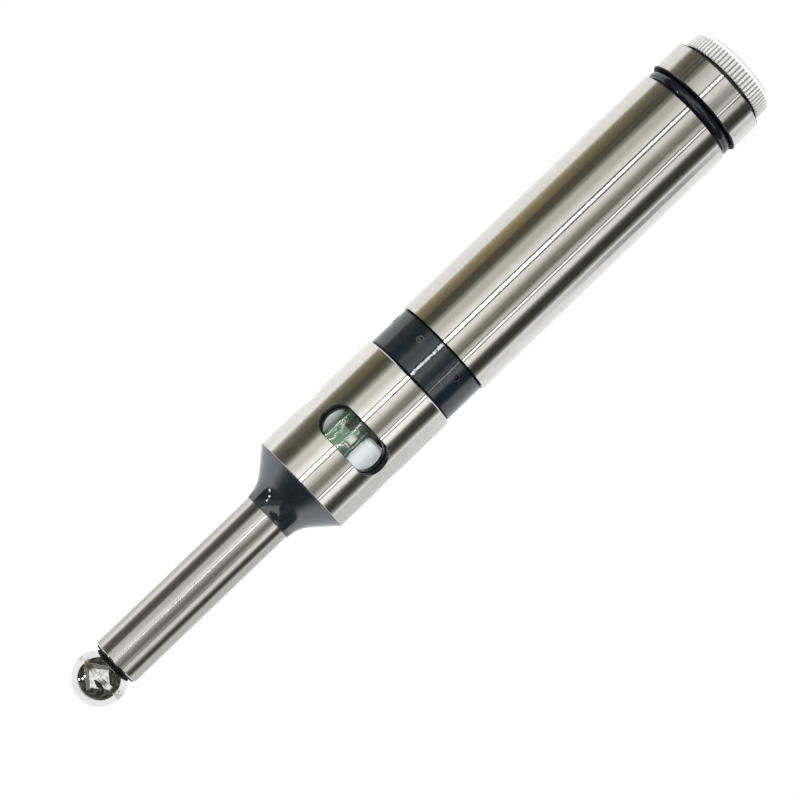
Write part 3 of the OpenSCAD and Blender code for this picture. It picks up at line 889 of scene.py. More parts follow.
@dataclass(frozen=True)
class ChipBody(Finish):
    """White ceramic chips with tinned ends: one right of split_x, one left of it."""

    ceramic: Colour = (0.94, 0.94, 0.93)
    glaze: Colour = (0.99, 0.99, 0.98)
    tin: Colour = (0.8, 0.79, 0.77)
    grains: Grain = even(5.0, 3.0)
    split_x: float = -1.0
    split_soft: float = 0.05
    right_z: float = -22.81
    left_z: float = -26.96
    end_from: float = 0.48
    end_fade: float = 0.04

    def surface(self, sheet: Sheet) -> Socket:
        """Ceramic in the middle and tin at both ends of each chip.

        Args:
            sheet: the material's nodes.

        Returns:
            The shader.
        """
        place = sheet.place()
        x, _, z = sheet.axes(place)
        is_right = sheet.edge(x, self.split_x, self.split_soft)
        middle = is_right * (self.right_z - self.left_z) + self.left_z
        end = sheet.step(abs(z - middle), self.end_from, self.end_from + self.end_fade)
        grain = sheet.grain(place, self.grains)
        return sheet.glossy(
            Base_Color=sheet.mix(end, sheet.mix(grain, self.ceramic, self.glaze), self.tin),
            Metallic=end * 0.7,
            Roughness=0.3 + grain * 0.12 - end * 0.08,
            Normal=sheet.bump(grain, 0.006),
        )


@dataclass(frozen=True)
class TransistorBody(Finish):
    """Black moulded package on tinned pins."""

    black: Colour = (0.006, 0.007, 0.009)
    grey: Colour = (0.015, 0.016, 0.019)
    tin: Colour = (0.68, 0.67, 0.64)
    grains: Grain = even(7.0, 3.0)
    pin_y: float = -0.555
    pin_soft: float = 0.02

    def surface(self, sheet: Sheet) -> Socket:
        """Moulding compound in front of the pins and tin behind.

        Args:
            sheet: the material's nodes.

        Returns:
            The shader.
        """
        place = sheet.place()
        _, y, _ = sheet.axes(place)
        pin = sheet.edge(y, self.pin_y, self.pin_soft)
        grain = sheet.grain(place, self.grains)
        return sheet.glossy(
            Base_Color=sheet.mix(pin, sheet.mix(grain, self.black, self.grey), self.tin),
            Metallic=pin,
            Roughness=0.5 + grain * 0.15 - pin * 0.28,
            Specular_IOR_Level=0.1,
            Normal=sheet.bump(grain, 0.01),
        )


@dataclass(frozen=True)
class LampEpoxy(Finish):
    """Milky lamp body on tinned leads, warmer near its foot, with painted shade where it meets the
    board and a faint painted glow.
    """

    milk: Colour = (0.88, 0.88, 0.9)
    cloudy: Colour = (0.8, 0.81, 0.84)
    foot: Colour = (0.6, 0.6, 0.57)
    board_shade: Colour = (0.2, 0.24, 0.22)
    tin: Colour = (0.6, 0.59, 0.56)
    clouds: Grain = even(0.5)
    grains: Grain = even(4.0)
    foot_z: float = -28.7
    foot_soft: float = 0.02
    body_z: float = -26.0
    # Painted shade darkens the lamp where it comes near the board.
    board_shade_from: Pair = (-4.5, -3.5)
    board_shade_to: Pair = (0.0, -0.5)
    board_shade_depth: float = 0.85
    # The glow is painted light: the unlit lamp body gives off a little light of its own.
    glow: float = 0.22

    def surface(self, sheet: Sheet) -> Socket:
        """Epoxy with a soft cloud inside, painted shade near the board, a painted glow, and tin below
        the flange.

        Args:
            sheet: the material's nodes.

        Returns:
            The shader.
        """
        place = sheet.place()
        x, _, z = sheet.axes(place)
        lead = sheet.edge(z, self.foot_z, -self.foot_soft)
        milk = sheet.mix(sheet.grain(place, self.clouds), self.milk, self.cloudy)
        milk = sheet.mix(sheet.step(z, self.body_z, self.foot_z) * 0.5, milk, self.foot)
        # Painted shade: the lamp is darker where it comes near the board.
        near_board = sheet.step(x, *self.board_shade_from) * sheet.step(x, *self.board_shade_to)
        milk = sheet.mix(near_board * self.board_shade_depth, milk, self.board_shade)
        grain = sheet.grain(place, self.grains)
        return sheet.glossy(
            Base_Color=sheet.mix(lead, milk, self.tin),
            Metallic=lead,
            Roughness=0.2 + grain * 0.12,
            # Painted glow that stands in for light reaching the lamp body.
            Emission_Color=sheet.mix(lead, milk, BLACK),
            Emission_Strength=self.glow,
            Normal=sheet.bump(grain, 0.003),
        )


@dataclass(frozen=True)
class BatteryJacket(Finish):
    """Steel cell with a plain two-colour shrink jacket and bare ends."""

    nickel: Colour = (0.66, 0.65, 0.62)
    low_colour: Colour = (0.05, 0.09, 0.2)
    high_colour: Colour = (0.6, 0.5, 0.2)
    folds: Grain = even(1.2, 3.0)
    low_z: float = 18.6
    high_z: float = 44.9
    band_z: float = 36.0
    soft: float = 0.05
    cell_r: float = 5.13
    jacket_wall: float = 0.03

    def surface(self, sheet: Sheet) -> Socket:
        """Bare nickel at both ends and a jacket with no print between them.

        Args:
            sheet: the material's nodes.

        Returns:
            The shader.
        """
        place = sheet.place()
        _, _, z = sheet.axes(place)
        jacket = sheet.step(sheet.radius(place), self.cell_r - self.jacket_wall, self.cell_r)
        jacket = jacket * sheet.step(z, self.low_z, self.low_z + self.soft)
        jacket = jacket * sheet.step(z, self.high_z + self.soft, self.high_z)
        fold = sheet.grain(place, self.folds)
        colour = sheet.mix(sheet.edge(z, self.band_z, self.soft), self.low_colour, self.high_colour)
        return sheet.glossy(
            Base_Color=sheet.mix(jacket, self.nickel, sheet.tinted(colour, 0.85 + fold * 0.3)),
            Metallic=1.0 - jacket * 0.4,
            Roughness=0.22 + fold * 0.14,
            Normal=sheet.bump(fold, 0.008),
        )


@dataclass(frozen=True)
class Rubber(Finish):
    """Oiled black rubber with a mould line and a bloom."""

    tint: Colour = (0.006, 0.007, 0.011)
    bloomed: Colour = (0.014, 0.015, 0.02)
    blooms: Grain = even(1.3, 4.0, 0.6)
    bloomy: Pair = (0.5, 0.8)
    mould_z: float = 60.2
    mould_w: float = 0.05
    ior: float = 1.6

    def surface(self, sheet: Sheet) -> Socket:
        """Black with a slight bloom and a thin parting line.

        Args:
            sheet: the material's nodes.

        Returns:
            The shader.
        """
        place = sheet.place()
        _, _, z = sheet.axes(place)
        bloom = sheet.grain(place, self.blooms)
        seam = sheet.step(abs(z - self.mould_z), self.mould_w, 0.0)
        return sheet.glossy(
            Base_Color=sheet.mix(sheet.step(bloom, *self.bloomy) * 0.5, self.tint, self.bloomed),
            Roughness=0.06 + bloom * 0.06,
            IOR=self.ior,
            Normal=sheet.bump(bloom * 0.5 + seam * 0.3, 0.003),
        )


class Finishes:
    """Every finish of the edge finder."""

    # The joints listed for the steel finishes are darkened as painted shade.
    SHANK = GroundSteel(
        "shank_ground",
        Slot.GROUND_STEEL,
        rough=0.075,
        joint_shade=(JointShade(-0.3, 0.05, 9.62), JointShade(58.86, 59.3)),
    )
    HOUSING = WindowSteel(
        "housing_ground",
        Slot.GROUND_STEEL,
        tint=(0.74, 0.735, 0.715),
        rough=0.095,
        joint_shade=(JointShade(-8.58, -8.3, 9.86), JointShade(-34.9, -34.56)),
    )
    STYLUS = GroundSteel(
        "stylus_ground",
        Slot.GROUND_STEEL,
        tint=(0.61, 0.605, 0.59),
        rough=0.07,
        lines=Grain(0.012, 6.0, 3.0, 0.6),
        wave_rise=0.002,
        joint_shade=(JointShade(-79.8, -79.05, 4.6),),
        painted_shade_depth=0.96,
    )
    CAP = CapSteel(
        "cap_turned",
        Slot.GROUND_STEEL,
        joint_shade=(JointShade(61.2, 61.6), JointShade(67.17, 68.3)),
        painted_shade_depth=0.96,
    )
    THREAD = PlainMetal("thread_cut", Slot.GROUND_STEEL, tint=(0.6, 0.59, 0.57))
    BALL = PolishedSteel("ball_lapped", Slot.BALL_STEEL)
    SMALL_STEEL = PlainMetal("small_steel", Slot.PLAIN_STEEL)
    SPRING = PlainMetal("spring_steel", Slot.SPRING_WIRE, tint=(0.6, 0.6, 0.6), rough=0.2)
    SCREW = PlainMetal("blackened_screw", Slot.DARK_SCREW, (0.22, 0.225, 0.24), (0.09, 0.09, 0.1), 0.2)
    COLLAR = BlackGloss("collar_black", Slot.BLACK_PLASTIC, edges=((9.5, 0.0), (9.5, -8.5)))
    NOSE = BlackGloss(
        "nose_black",
        Slot.BLACK_PLASTIC,
        tint=(0.01, 0.015, 0.022),
        rough=0.08,
        ior=1.95,
        edges=((9.8, -34.7), (4.95, -42.7)),
        mottle_rise=0.008,
    )
    LINER = Moulded(
        "liner_black",
        Slot.BLACK_LINER,
        (0.007, 0.008, 0.009),
        (0.012, 0.013, 0.014),
        rough=0.3,
        shine=0.25,
    )
    CLEAR = ClearPlastic("lens_clear", Slot.CLEAR_PLASTIC)
    BOARD = Laminate("board_mask", Slot.BOARD_GREEN)
    TRACK = TrackCoat("track_mask", Slot.BOARD_GREEN)
    SOLDER = Solder("solder_tin", Slot.BOARD_GREEN)
    TINNED_TRACK = Solder("track_tinned", Slot.BOARD_GREEN, (0.72, 0.82, 0.72), (0.26, 0.47, 0.28))
    CHIP = ChipBody("chip_ceramic", Slot.CHIP_BODY)
    TRANSISTOR = TransistorBody("transistor_moulding", Slot.TRANSISTOR_BODY)
    LAMP = LampEpoxy("lamp_epoxy", Slot.LAMP_WHITE)
    BRASS = PlainMetal("turned_brass", Slot.CONTACT_BRASS, (0.72, 0.5, 0.2), (0.42, 0.27, 0.11), 0.24)
    SLEEVE = Moulded("sleeve_white", Slot.SLEEVE_PLASTIC, (0.74, 0.71, 0.62), (0.66, 0.63, 0.55))
    FIBRE = Moulded("fibre_brown", Slot.FIBRE_DISC, (0.22, 0.085, 0.035), (0.15, 0.055, 0.025), 0.6)
    BATTERY = BatteryJacket("battery_shrink", Slot.BATTERY_JACKET)
    RUBBER = Rubber("oiled_rubber", Slot.RING_RUBBER)


class Form:
    """Points and faces of one piece, which shapes are added to, in millimetres."""

    TRACK_EDGE = ((-0.5, -1.0), (-0.5, 0.0), (-0.36, 1.0), (0.36, 1.0), (0.5, 0.0), (0.5, -1.0))
    PAD_EDGE = ((1.0, -0.3), (1.0, 0.1), (0.86, 0.62), (0.5, 1.0), (0.02, 1.0))
    PAD_SIDES = 24
    PAD_SQUARENESS = 4
    RING_SIDES = 28

    def __init__(self) -> None:
        """Starts with nothing."""
        self.points: List[Point] = []
        self.faces: List[Tuple[int, ...]] = []

    def rings(self, rows: Sequence[Sequence[Point]]) -> None:
        """Joins closed rows of points, all of one length, and closes both ends with a face.

        Args:
            rows: the rows, from one end to the other.
        """
        base = len(self.points)
        width = len(rows[0])
        self.points += [tuple(point) for row in rows for point in row]
        for i in range(len(rows) - 1):
            for k in range(width):
                a = base + i * width + k
                b = base + i * width + (k + 1) % width
                self.faces.append((a, b, b + width, a + width))
        end = base + (len(rows) - 1) * width
        self.faces.append(tuple(base + k for k in reversed(range(width))))
        self.faces.append(tuple(end + k for k in range(width)))

    def wire(self, path: Sequence[Vector], r: float, sides: int) -> None:
        """Sweeps a round wire along a path, with both ends closed.

        Args:
            path: points of its centre line.
            r: its radius.
            sides: how many flats it has round it.
        """
        side = (path[1] - path[0]).orthogonal().normalized()
        rows = []
        for i, point in enumerate(path):
            way = (path[min(i + 1, len(path) - 1)] - path[max(i - 1, 0)]).normalized()
            side = (side - way * side.dot(way)).normalized()
            other = way.cross(side)
            turns = [2 * math.pi * k / sides for k in range(sides)]
            rows.append([tuple(point + r * (math.cos(a) * side + math.sin(a) * other)) for a in turns])
        self.rings(rows)

    def track(self, route: Route, width: float, face_y: float, rise: float) -> None:
        """Lays a raised track with bevelled sides on a board's face.

        Args:
            route: its (x, z) points.
            width: its width at the foot.
            face_y: where the face is; the side it faces is the sign of this.
            rise: its height.
        """
        side = math.copysign(1.0, face_y)
        rows = []
        for i, (x, z) in enumerate(route):
            before = Vector(route[max(i - 1, 0)])
            after = Vector(route[min(i + 1, len(route) - 1)])
            way = (after - before).normalized()
            over = Vector((-way.y, way.x)) * side
            row = []
            for share, height in self.TRACK_EDGE:
                flat = Vector((x, z)) + over * width * share
                row.append((flat.x, face_y + side * height * rise, flat.y))
            rows.append(row)
        self.rings(rows)

    def pad(self, centre: Pair, size: Pair, face_y: float, rise: float) -> None:
        """Heaps solder on a rectangular pad: a low pillow with rounded corners.

        Args:
            centre: its (x, z) middle.
            size: its reach along x and z.
            face_y: where the board's face is; the side it faces is the sign of this.
            rise: its height.
        """
        side = math.copysign(1.0, face_y)
        power = self.PAD_SQUARENESS
        rows = []
        for share, height in self.PAD_EDGE:
            row = []
            for k in range(self.PAD_SIDES):
                a = 2 * math.pi * k / self.PAD_SIDES * -side
                c, s = math.cos(a), math.sin(a)
                pull = (abs(c) ** power + abs(s) ** power) ** (-1 / power)
                x = centre[0] + c * pull * size[0] / 2 * share
                z = centre[1] + s * pull * size[1] / 2 * share
                row.append((x, face_y + side * height * rise, z))
            rows.append(row)
        self.rings(rows)

    def ring(self, profile: Route, centre: Point, way: Vector) -> None:
        """Turns a closed profile round its hole.

        Args:
            profile: its (radius, height) points.
            centre: the middle of the hole on the face.
            way: the direction out of the face.
        """
        steps = self.RING_SIDES
        side = way.orthogonal().normalized()
        other = way.cross(side)
        base = len(self.points)
        for k in range(steps):
            a = 2 * math.pi * k / steps
            spoke = math.cos(a) * side + math.sin(a) * other
            self.points += [tuple(Vector(centre) + way * h + spoke * r) for r, h in profile]
        width = len(profile)
        for k in range(steps):
            here = base + k * width
            there = base + (k + 1) % steps * width
            for i in range(width):
                over = (i + 1) % width
                self.faces.append((here + i, there + i, there + over, here + over))


def helix(r: float, low: float, high: float, turns: float, steps: int = 32) -> List[Vector]:
    """Finds the points of a helix round the axis that starts on the +X side.

    Args:
        r: its radius.
        low: the height of its start.
        high: the height of its end.
        turns: how many turns it has.
        steps: the points of one turn.

    Returns:
        The points, from low to high.
    """
    count = int(turns * steps)
    path = []
    for i in range(count + 1):
        a = 2 * math.pi * i / steps
        path.append(Vector((r * math.cos(a), r * math.sin(a), low + (high - low) * i / count)))
    return path


def bend(
    start: Vector,
    start_way: Vector,
    end: Vector,
    end_way: Vector,
    steps: int = 8,
) -> List[Vector]:
    """Finds the points of a cubic bend between two places, without its ends.

    Args:
        start: where it starts.
        start_way: the direction it starts in, as long as its pull.
        end: where it ends.
        end_way: the direction it ends in, as long as its pull.
        steps: how many pieces it is cut in.

    Returns:
        The points between the ends.
    """
    path = []
    for i in range(1, steps):
        u = i / steps
        v = 1 - u
        inner = 3 * u * v * v * (start + start_way) + 3 * u * u * v * (end - end_way)
        path.append(v ** 3 * start + inner + u ** 3 * end)
    return path


class Workshop:
    """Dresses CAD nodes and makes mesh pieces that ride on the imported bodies."""

    def __init__(self, frame: Dict[str, Any]) -> None:
        """Keeps the loaded frame's nodes."""
        self.nodes: Dict[str, bpy.types.Object] = frame["nodes"]

    def dress(self, node: str, finish: Finish) -> None:
        """Gives a CAD node its finish.

        Args:
            node: the node's name.
            finish: its finish.
        """
        slots = self.nodes[node].data.materials
        slots.clear()
        slots.append(finish.material())
        log.info("dressed %s in %s", node, finish.name)

    def piece(
        self,
        name: str,
        form: Form,
        finish: Finish,
        body: Body,
        crease: float = 40.0,
    ) -> bpy.types.Object:
        """Makes a mesh piece.

        Args:
            name: the piece's name.
            form: its points and faces in the frame.
            finish: its finish.
            body: the body that it rides on.
            crease: edges sharper than this angle stay sharp, in degrees.

        Returns:
            The piece.
        """
        mesh = bpy.data.meshes.new(name)
        mesh.from_pydata([tuple(c * MM for c in point) for point in form.points], [], form.faces)
        mesh.validate()
        mesh.polygons.foreach_set("use_smooth", [True] * len(mesh.polygons))
        mesh.set_sharp_from_angle(angle=math.radians(crease))
        mesh.materials.append(finish.material())
        made = bpy.data.objects.new(name, mesh)
        bpy.context.scene.collection.objects.link(made)
        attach(made, body.value)
        log.info("made %s on %s", name, body.value)
        return made


@dataclass
class Assembly:
    """A sub-assembly of CAD nodes in their finishes and of its own pieces."""

    DRESSED: ClassVar[Dict[str, Finish]] = {}

    shop: Workshop

    def build(self) -> None:
        """Dresses the nodes, then makes the pieces."""
        for node, finish in self.DRESSED.items():
            self.shop.dress(node, finish)
        self.make()

    def make(self) -> None:
        """Makes the pieces; most sub-assemblies have none."""


@dataclass
class PowerEnd(Assembly):
    """Ground shank with the battery, its sleeves and its contact rod."""

    DRESSED: ClassVar[Dict[str, Finish]] = {
        "shank_tube": Finishes.SHANK,
        "battery_liner": Finishes.SLEEVE,
        "battery": Finishes.BATTERY,
        "terminal_disc": Finishes.FIBRE,
        "contact_rod": Finishes.BRASS,
        "rod_sleeve": Finishes.SLEEVE,
    }


@dataclass
class Head(Assembly):
    """Collar with its screws, window housing, liner and clear tube."""

    DRESSED: ClassVar[Dict[str, Finish]] = {
        "collar_ring": Finishes.COLLAR,
        "collar_screws": Finishes.SCREW,
        "window_housing": Finishes.HOUSING,
        "window_liner": Finishes.LINER,
        "lens_tube": Finishes.CLEAR,
    }


@dataclass(frozen=True)
class Joint:
    """A solder joint on the board: its middle and its size, each as (x, z)."""

    centre: Pair
    size: Pair


@dataclass
class LightUnit(Assembly):
    """Board with its parts, tracks and solder, and the two lamps on their holder."""

    DRESSED: ClassVar[Dict[str, Finish]] = {
        "lamp_holder": Finishes.LINER,
        "board_cap": Finishes.LINER,
        "circuit_board": Finishes.BOARD,
        "board_chips": Finishes.CHIP,
        "board_transistor": Finishes.TRANSISTOR,
        "lamp_right": Finishes.LAMP,
        "lamp_left": Finishes.LAMP,
        "foot_contact": Finishes.BRASS,
    }

    front_y: float = -0.4
    back_y: float = 0.4
    track_rise: float = 0.035
    track_w: float = 0.28
    power_w: float = 0.55
    corner_cuts: int = 2
    corner_share: float = 0.25
    solder_rise: float = 0.16
    back_rise_share: float = 1.4
    back_joint: Pair = (0.95, 0.95)
    power_routes: Tuple[Route, ...] = (
        (
            (-3.25, -28.3),
            (-3.3, -25.6),
            (-3.04, -24.6),
            (-3.04, -23.6),
            (-3.3, -22.85),
            (-3.04, -22.1),
            (-3.2, -16.4),
        ),
        ((-2.4, -25.9), (-1.85, -24.9), (-2.3, -24.0), (-1.85, -23.1), (-2.35, -22.2), (-2.62, -21.4)),
        ((-1.0, -28.3), (-1.05, -25.9), (-0.3, -24.9), (0.42, -24.3)),
    )
    front_routes: Tuple[Route, ...] = (
        ((-1.3, -25.4), (-1.1, -24.6), (-1.4, -23.5), (-0.95, -22.6), (-1.15, -21.9)),
        ((0.37, -21.9), (0.06, -21.3), (-0.6, -20.4)),
        ((-0.6, -20.3), (-0.37, -19.36), (-0.5, -16.4)),
        ((-2.62, -19.3), (-2.3, -18.4), (-2.4, -16.4)),
        ((1.5, -28.3), (1.55, -25.8), (1.3, -24.4), (1.6, -23.1), (1.35, -21.4), (1.5, -16.4)),
    )
    back_routes: Tuple[Route, ...] = (
        ((-3.3, -28.3), (-3.35, -25.6), (-3.04, -23.6), (-3.04, -22.1), (-2.6, -21.0), (-2.6, -17.2)),
        ((-1.6, -28.3), (-1.7, -24.4), (-1.1, -22.9), (-0.37, -19.36), (-0.3, -16.4)),
        ((1.0, -28.3), (1.1, -25.6), (0.5, -24.4), (0.9, -22.6), (0.5, -20.4), (0.5, -16.4)),
    )
    front_joints: Tuple[Joint, ...] = (
        Joint((0.42, -24.05), (1.2, 0.75)),
        Joint((0.37, -21.87), (1.1, 0.4)),
        Joint((-2.4, -27.95), (1.2, 0.5)),
        Joint((-2.4, -25.97), (1.2, 0.5)),
        Joint((-2.64, -21.28), (0.8, 0.6)),
        Joint((-2.64, -19.36), (0.8, 0.6)),
        Joint((-0.6, -20.32), (0.8, 0.6)),
        Joint((-3.45, -28.6), (0.6, 0.6)),
        Joint((-0.9, -28.4), (0.8, 0.7)),
    )
    back_places: Route = (
        (-3.2, -28.4),
        (-1.6, -28.4),
        (1.0, -28.4),
        (-2.6, -17.2),
        (0.5, -17.2),
        (-1.3, -23.4),
    )
    hole_places: Route = ((-0.37, -19.36), (-3.04, -22.1), (-3.04, -23.6))
    hole_ring: Route = (
        (0.22, -0.02),
        (0.22, 0.045),
        (0.3, 0.07),
        (0.4, 0.05),
        (0.43, 0.0),
        (0.43, -0.02),
    )
    ring_pad: Route = (
        (0.3, -0.02),
        (0.3, 0.06),
        (0.4, 0.1),
        (0.52, 0.07),
        (0.56, 0.0),
        (0.56, -0.02),
    )
    ring_pad_place: Pair = (0.06, -21.22)

    def make(self) -> None:
        """Adds the printed and soldered detail of the board."""
        front, back = self.front_y, self.back_y
        broad, fine = self.power_w, self.track_w
        self._tracks("board_power_tracks", front, broad, self.power_routes, Finishes.TINNED_TRACK)
        self._tracks("board_tracks_front", front, fine, self.front_routes, Finishes.TRACK)
        self._tracks("board_tracks_back", back, broad, self.back_routes, Finishes.TRACK)
        self._solder()
        self._rings()

    def _tracks(
        self,
        name: str,
        face_y: float,
        width: float,
        routes: Sequence[Route],
        finish: Finish,
    ) -> None:
        """Lays the tracks of one side, smoothed between their corners.

        Args:
            name: the piece's name.
            face_y: where the board's face is.
            width: the tracks' width.
            routes: the (x, z) corners of each track.
            finish: the tracks' finish.
        """
        form = Form()
        for route in routes:
            form.track(self._smoothed(route), width, face_y, self.track_rise)
        self.shop.piece(name, form, finish, Body.HOUSING)

    def _smoothed(self, route: Route) -> Route:
        """Cuts the corners of a route, so that it runs in soft bends.

        Args:
            route: its corners.

        Returns:
            The smooth route between the same ends.
        """
        near = self.corner_share
        far = 1 - near
        for _ in range(self.corner_cuts):
            cut = [route[0]]
            for (ax, az), (bx, bz) in zip(route, route[1:]):
                cut.append((ax * far + bx * near, az * far + bz * near))
                cut.append((ax * near + bx * far, az * near + bz * far))
            cut.append(route[-1])
            route = cut
        return route

    def _solder(self) -> None:
        """Heaps solder at the chips' ends, the transistor's pins and the through joints."""
        form = Form()
        for joint in self.front_joints:
            form.pad(joint.centre, joint.size, self.front_y, self.solder_rise)
        for centre in self.back_places:
            form.pad(centre, self.back_joint, self.back_y, self.solder_rise * self.back_rise_share)
        self.shop.piece("solder_joints", form, Finishes.SOLDER, Body.HOUSING)

    def _rings(self) -> None:
        """Puts a tinned ring round both ends of each plated hole, and a larger one on the front."""
        holes = Form()
        for x, z in self.hole_places:
            for face_y in (self.front_y, self.back_y):
                out = Vector((0.0, math.copysign(1.0, face_y), 0.0))
                holes.ring(self.hole_ring, (x, face_y, z), out)
        single = Form()
        x, z = self.ring_pad_place
        single.ring(self.ring_pad, (x, self.front_y, z), Vector((0.0, -1.0, 0.0)))
        self.shop.piece("via_rings", holes, Finishes.SOLDER, Body.HOUSING)
        self.shop.piece("ring_pad", single, Finishes.SOLDER, Body.HOUSING)


@dataclass
class Stylus(Assembly):
    """Nose cone and the thin tube that carries the ball, with its nut and the spring's anchor."""

    DRESSED: ClassVar[Dict[str, Finish]] = {
        "nose_cone": Finishes.NOSE,
        "stylus_tube": Finishes.STYLUS,
        "stylus_nut": Finishes.SMALL_STEEL,
        "spring_anchor": Finishes.SMALL_STEEL,
    }


@dataclass
class SprungBall(Assembly):
    """Contact ball on its stem, pulled into its seat by a hooked spring."""

    DRESSED: ClassVar[Dict[str, Finish]] = {
        "ball_tip": Finishes.BALL,
        "ball_stem": Finishes.SMALL_STEEL,
    }

    wire_r: float = 0.25
    wire_sides: int = 12
    coil_r: float = 1.9
    coil_turns: int = 14
    hook_r: float = 1.2
    hook_turn: float = 235.0
    hook_steps: int = 20
    hook_drop: float = 0.35
    hook_lead: float = 1.6
    low_eye_z: float = -75.2
    high_eye_z: float = -35.8

    def make(self) -> None:
        """Winds the spring."""
        form = Form()
        form.wire(self._spring_path(), self.wire_r, self.wire_sides)
        made = self.shop.piece("ball_spring_wire", form, Finishes.SPRING, Body.BALL_SPRING)
        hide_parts("tension_spring")

    def _hook(self, z: float, way: float) -> List[Vector]:
        """Finds the points of a hook from its opening round to the +X side.

        Args:
            z: the height of its middle.
            way: 1 for the low hook and -1 for the high one.

        Returns:
            The points.
        """
        path = []
        for i in range(self.hook_steps + 1):
            a = math.radians(self.hook_turn) * (1 - i / self.hook_steps)
            path.append(Vector((self.hook_r * math.cos(a), 0.0, z - way * self.hook_r * math.sin(a))))
        return path

    def _spring_path(self) -> List[Vector]:
        """Finds the spring's centre line.

        Returns:
            Its points from the low hook to the high one.
        """
        low_z = self.low_eye_z + self.hook_drop + self.hook_r
        high_z = self.high_eye_z - self.hook_drop - self.hook_r
        up = Vector((0.0, 0.0, self.hook_lead / 2))
        round_way = Vector((0.0, self.hook_lead / 2, 0.0))
        coils = helix(self.coil_r, low_z + self.hook_lead, high_z - self.hook_lead, self.coil_turns)
        low_hook = self._hook(low_z, 1.0)
        high_hook = self._hook(high_z, -1.0)
        path = low_hook + bend(low_hook[-1], up, coils[0], round_way) + coils
        return path + bend(coils[-1], round_way, high_hook[-1], up) + high_hook[::-1]


@dataclass
class CapEnd(Assembly):
    """Battery cap with its thread, rubber ring, contact washer and spring."""

    DRESSED: ClassVar[Dict[str, Finish]] = {
        "battery_cap": Finishes.CAP,
        "cap_ring": Finishes.RUBBER,
        "contact_washer": Finishes.BRASS,
    }

    root_r: float = 7.42
    crest_r: float = 7.88
    bury: float = 0.06
    lift: float = 0.01
    pitch: float = 1.0
    thread_low: float = 53.2
    thread_high: float = 57.0
    thread_steps: int = 72
    thread_least: float = 0.04
    thread_crease: float = 30.0
    flank: float = 0.34
    crest: float = 0.06
    coil_r: float = 3.6
    coil_turns: int = 5
    wire_r: float = 0.35
    wire_sides: int = 14
    closed_gap: float = 2.05
    spring_low: float = 45.9
    spring_high: float = 57.9

    def make(self) -> None:
        """Cuts the cap's thread and winds its spring."""
        self._thread()
        self._spring()

    def _thread(self) -> None:
        """Winds the thread's ridge round the spigot; it fades in and out over half a turn."""
        rows = []
        fade_steps = self.thread_steps / 2
        steps = int((self.thread_high - self.thread_low) / self.pitch * self.thread_steps)
        for i in range(steps + 1):
            a = 2 * math.pi * i / self.thread_steps
            z = self.thread_low + self.pitch * i / self.thread_steps
            fade = min(1.0, i / fade_steps, (steps - i) / fade_steps)
            top = self.root_r + (self.crest_r - self.root_r) * max(fade, self.thread_least)
            ridge = (
                (self.root_r - self.bury, -self.flank),
                (self.root_r + self.lift, -self.flank),
                (top, -self.crest),
                (top, self.crest),
                (self.root_r + self.lift, self.flank),
                (self.root_r - self.bury, self.flank),
            )
            rows.append([(r * math.cos(a), r * math.sin(a), z + off) for r, off in ridge])
        form = Form()
        form.rings(rows)
        self.shop.piece("cap_thread", form, Finishes.THREAD, Body.CAP, self.thread_crease)

    def _spring(self) -> None:
        """Winds the battery spring with a closed turn at each end."""
        gap = self.wire_r * self.closed_gap
        low = helix(self.coil_r, self.spring_low, self.spring_low + gap, 1)
        middle = helix(self.coil_r, self.spring_low + gap, self.spring_high - gap, self.coil_turns)
        high = helix(self.coil_r, self.spring_high - gap, self.spring_high, 1)
        form = Form()
        form.wire(low + middle[1:] + high[1:], self.wire_r, self.wire_sides)
        made = self.shop.piece("battery_spring_wire", form, Finishes.SPRING, Body.CAP_LIFT)
        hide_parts("battery_spring")


@dataclass(frozen=True)
class Card:
    """A card in the studio's wall: where it stands, in degrees round the axis, and its tone."""

    turn: float
    tone: Colour


PAPER: Colour = (1.08, 1.085, 1.11)
HIGH_CARDS: Tuple[Card, ...] = (
    Card(-180, PAPER),
    Card(-106, (1.04, 1.03, 0.98)),
    Card(-99, (0.3, 0.285, 0.2)),
    Card(-90, (0.2, 0.185, 0.125)),
    Card(-70, (0.105, 0.095, 0.065)),
    Card(-62, (0.092, 0.083, 0.06)),
    Card(-55, (0.115, 0.11, 0.085)),
    Card(-48, (0.33, 0.33, 0.28)),
    Card(-42, (0.64, 0.64, 0.57)),
    Card(-31, (0.63, 0.63, 0.56)),
    Card(-22, (0.9, 0.9, 0.83)),
    Card(-15, (1.1, 1.09, 1.03)),
    Card(1, (1.05, 1.04, 0.99)),
    Card(7, (0.95, 0.93, 0.86)),
    Card(13, (0.62, 0.62, 0.54)),
    Card(19, (0.28, 0.285, 0.23)),
    Card(30, (0.175, 0.175, 0.14)),
    Card(37, (0.66, 0.65, 0.59)),
    Card(52, (1.1, 1.1, 1.03)),
    Card(59, (1.05, 1.05, 0.98)),
    Card(66.5, (0.17, 0.17, 0.145)),
    Card(73, (0.05, 0.05, 0.041)),
    Card(87, (0.052, 0.052, 0.043)),
    Card(94, (0.27, 0.27, 0.245)),
    Card(101, (1.0, 1.0, 1.0)),
    Card(180, PAPER),
)
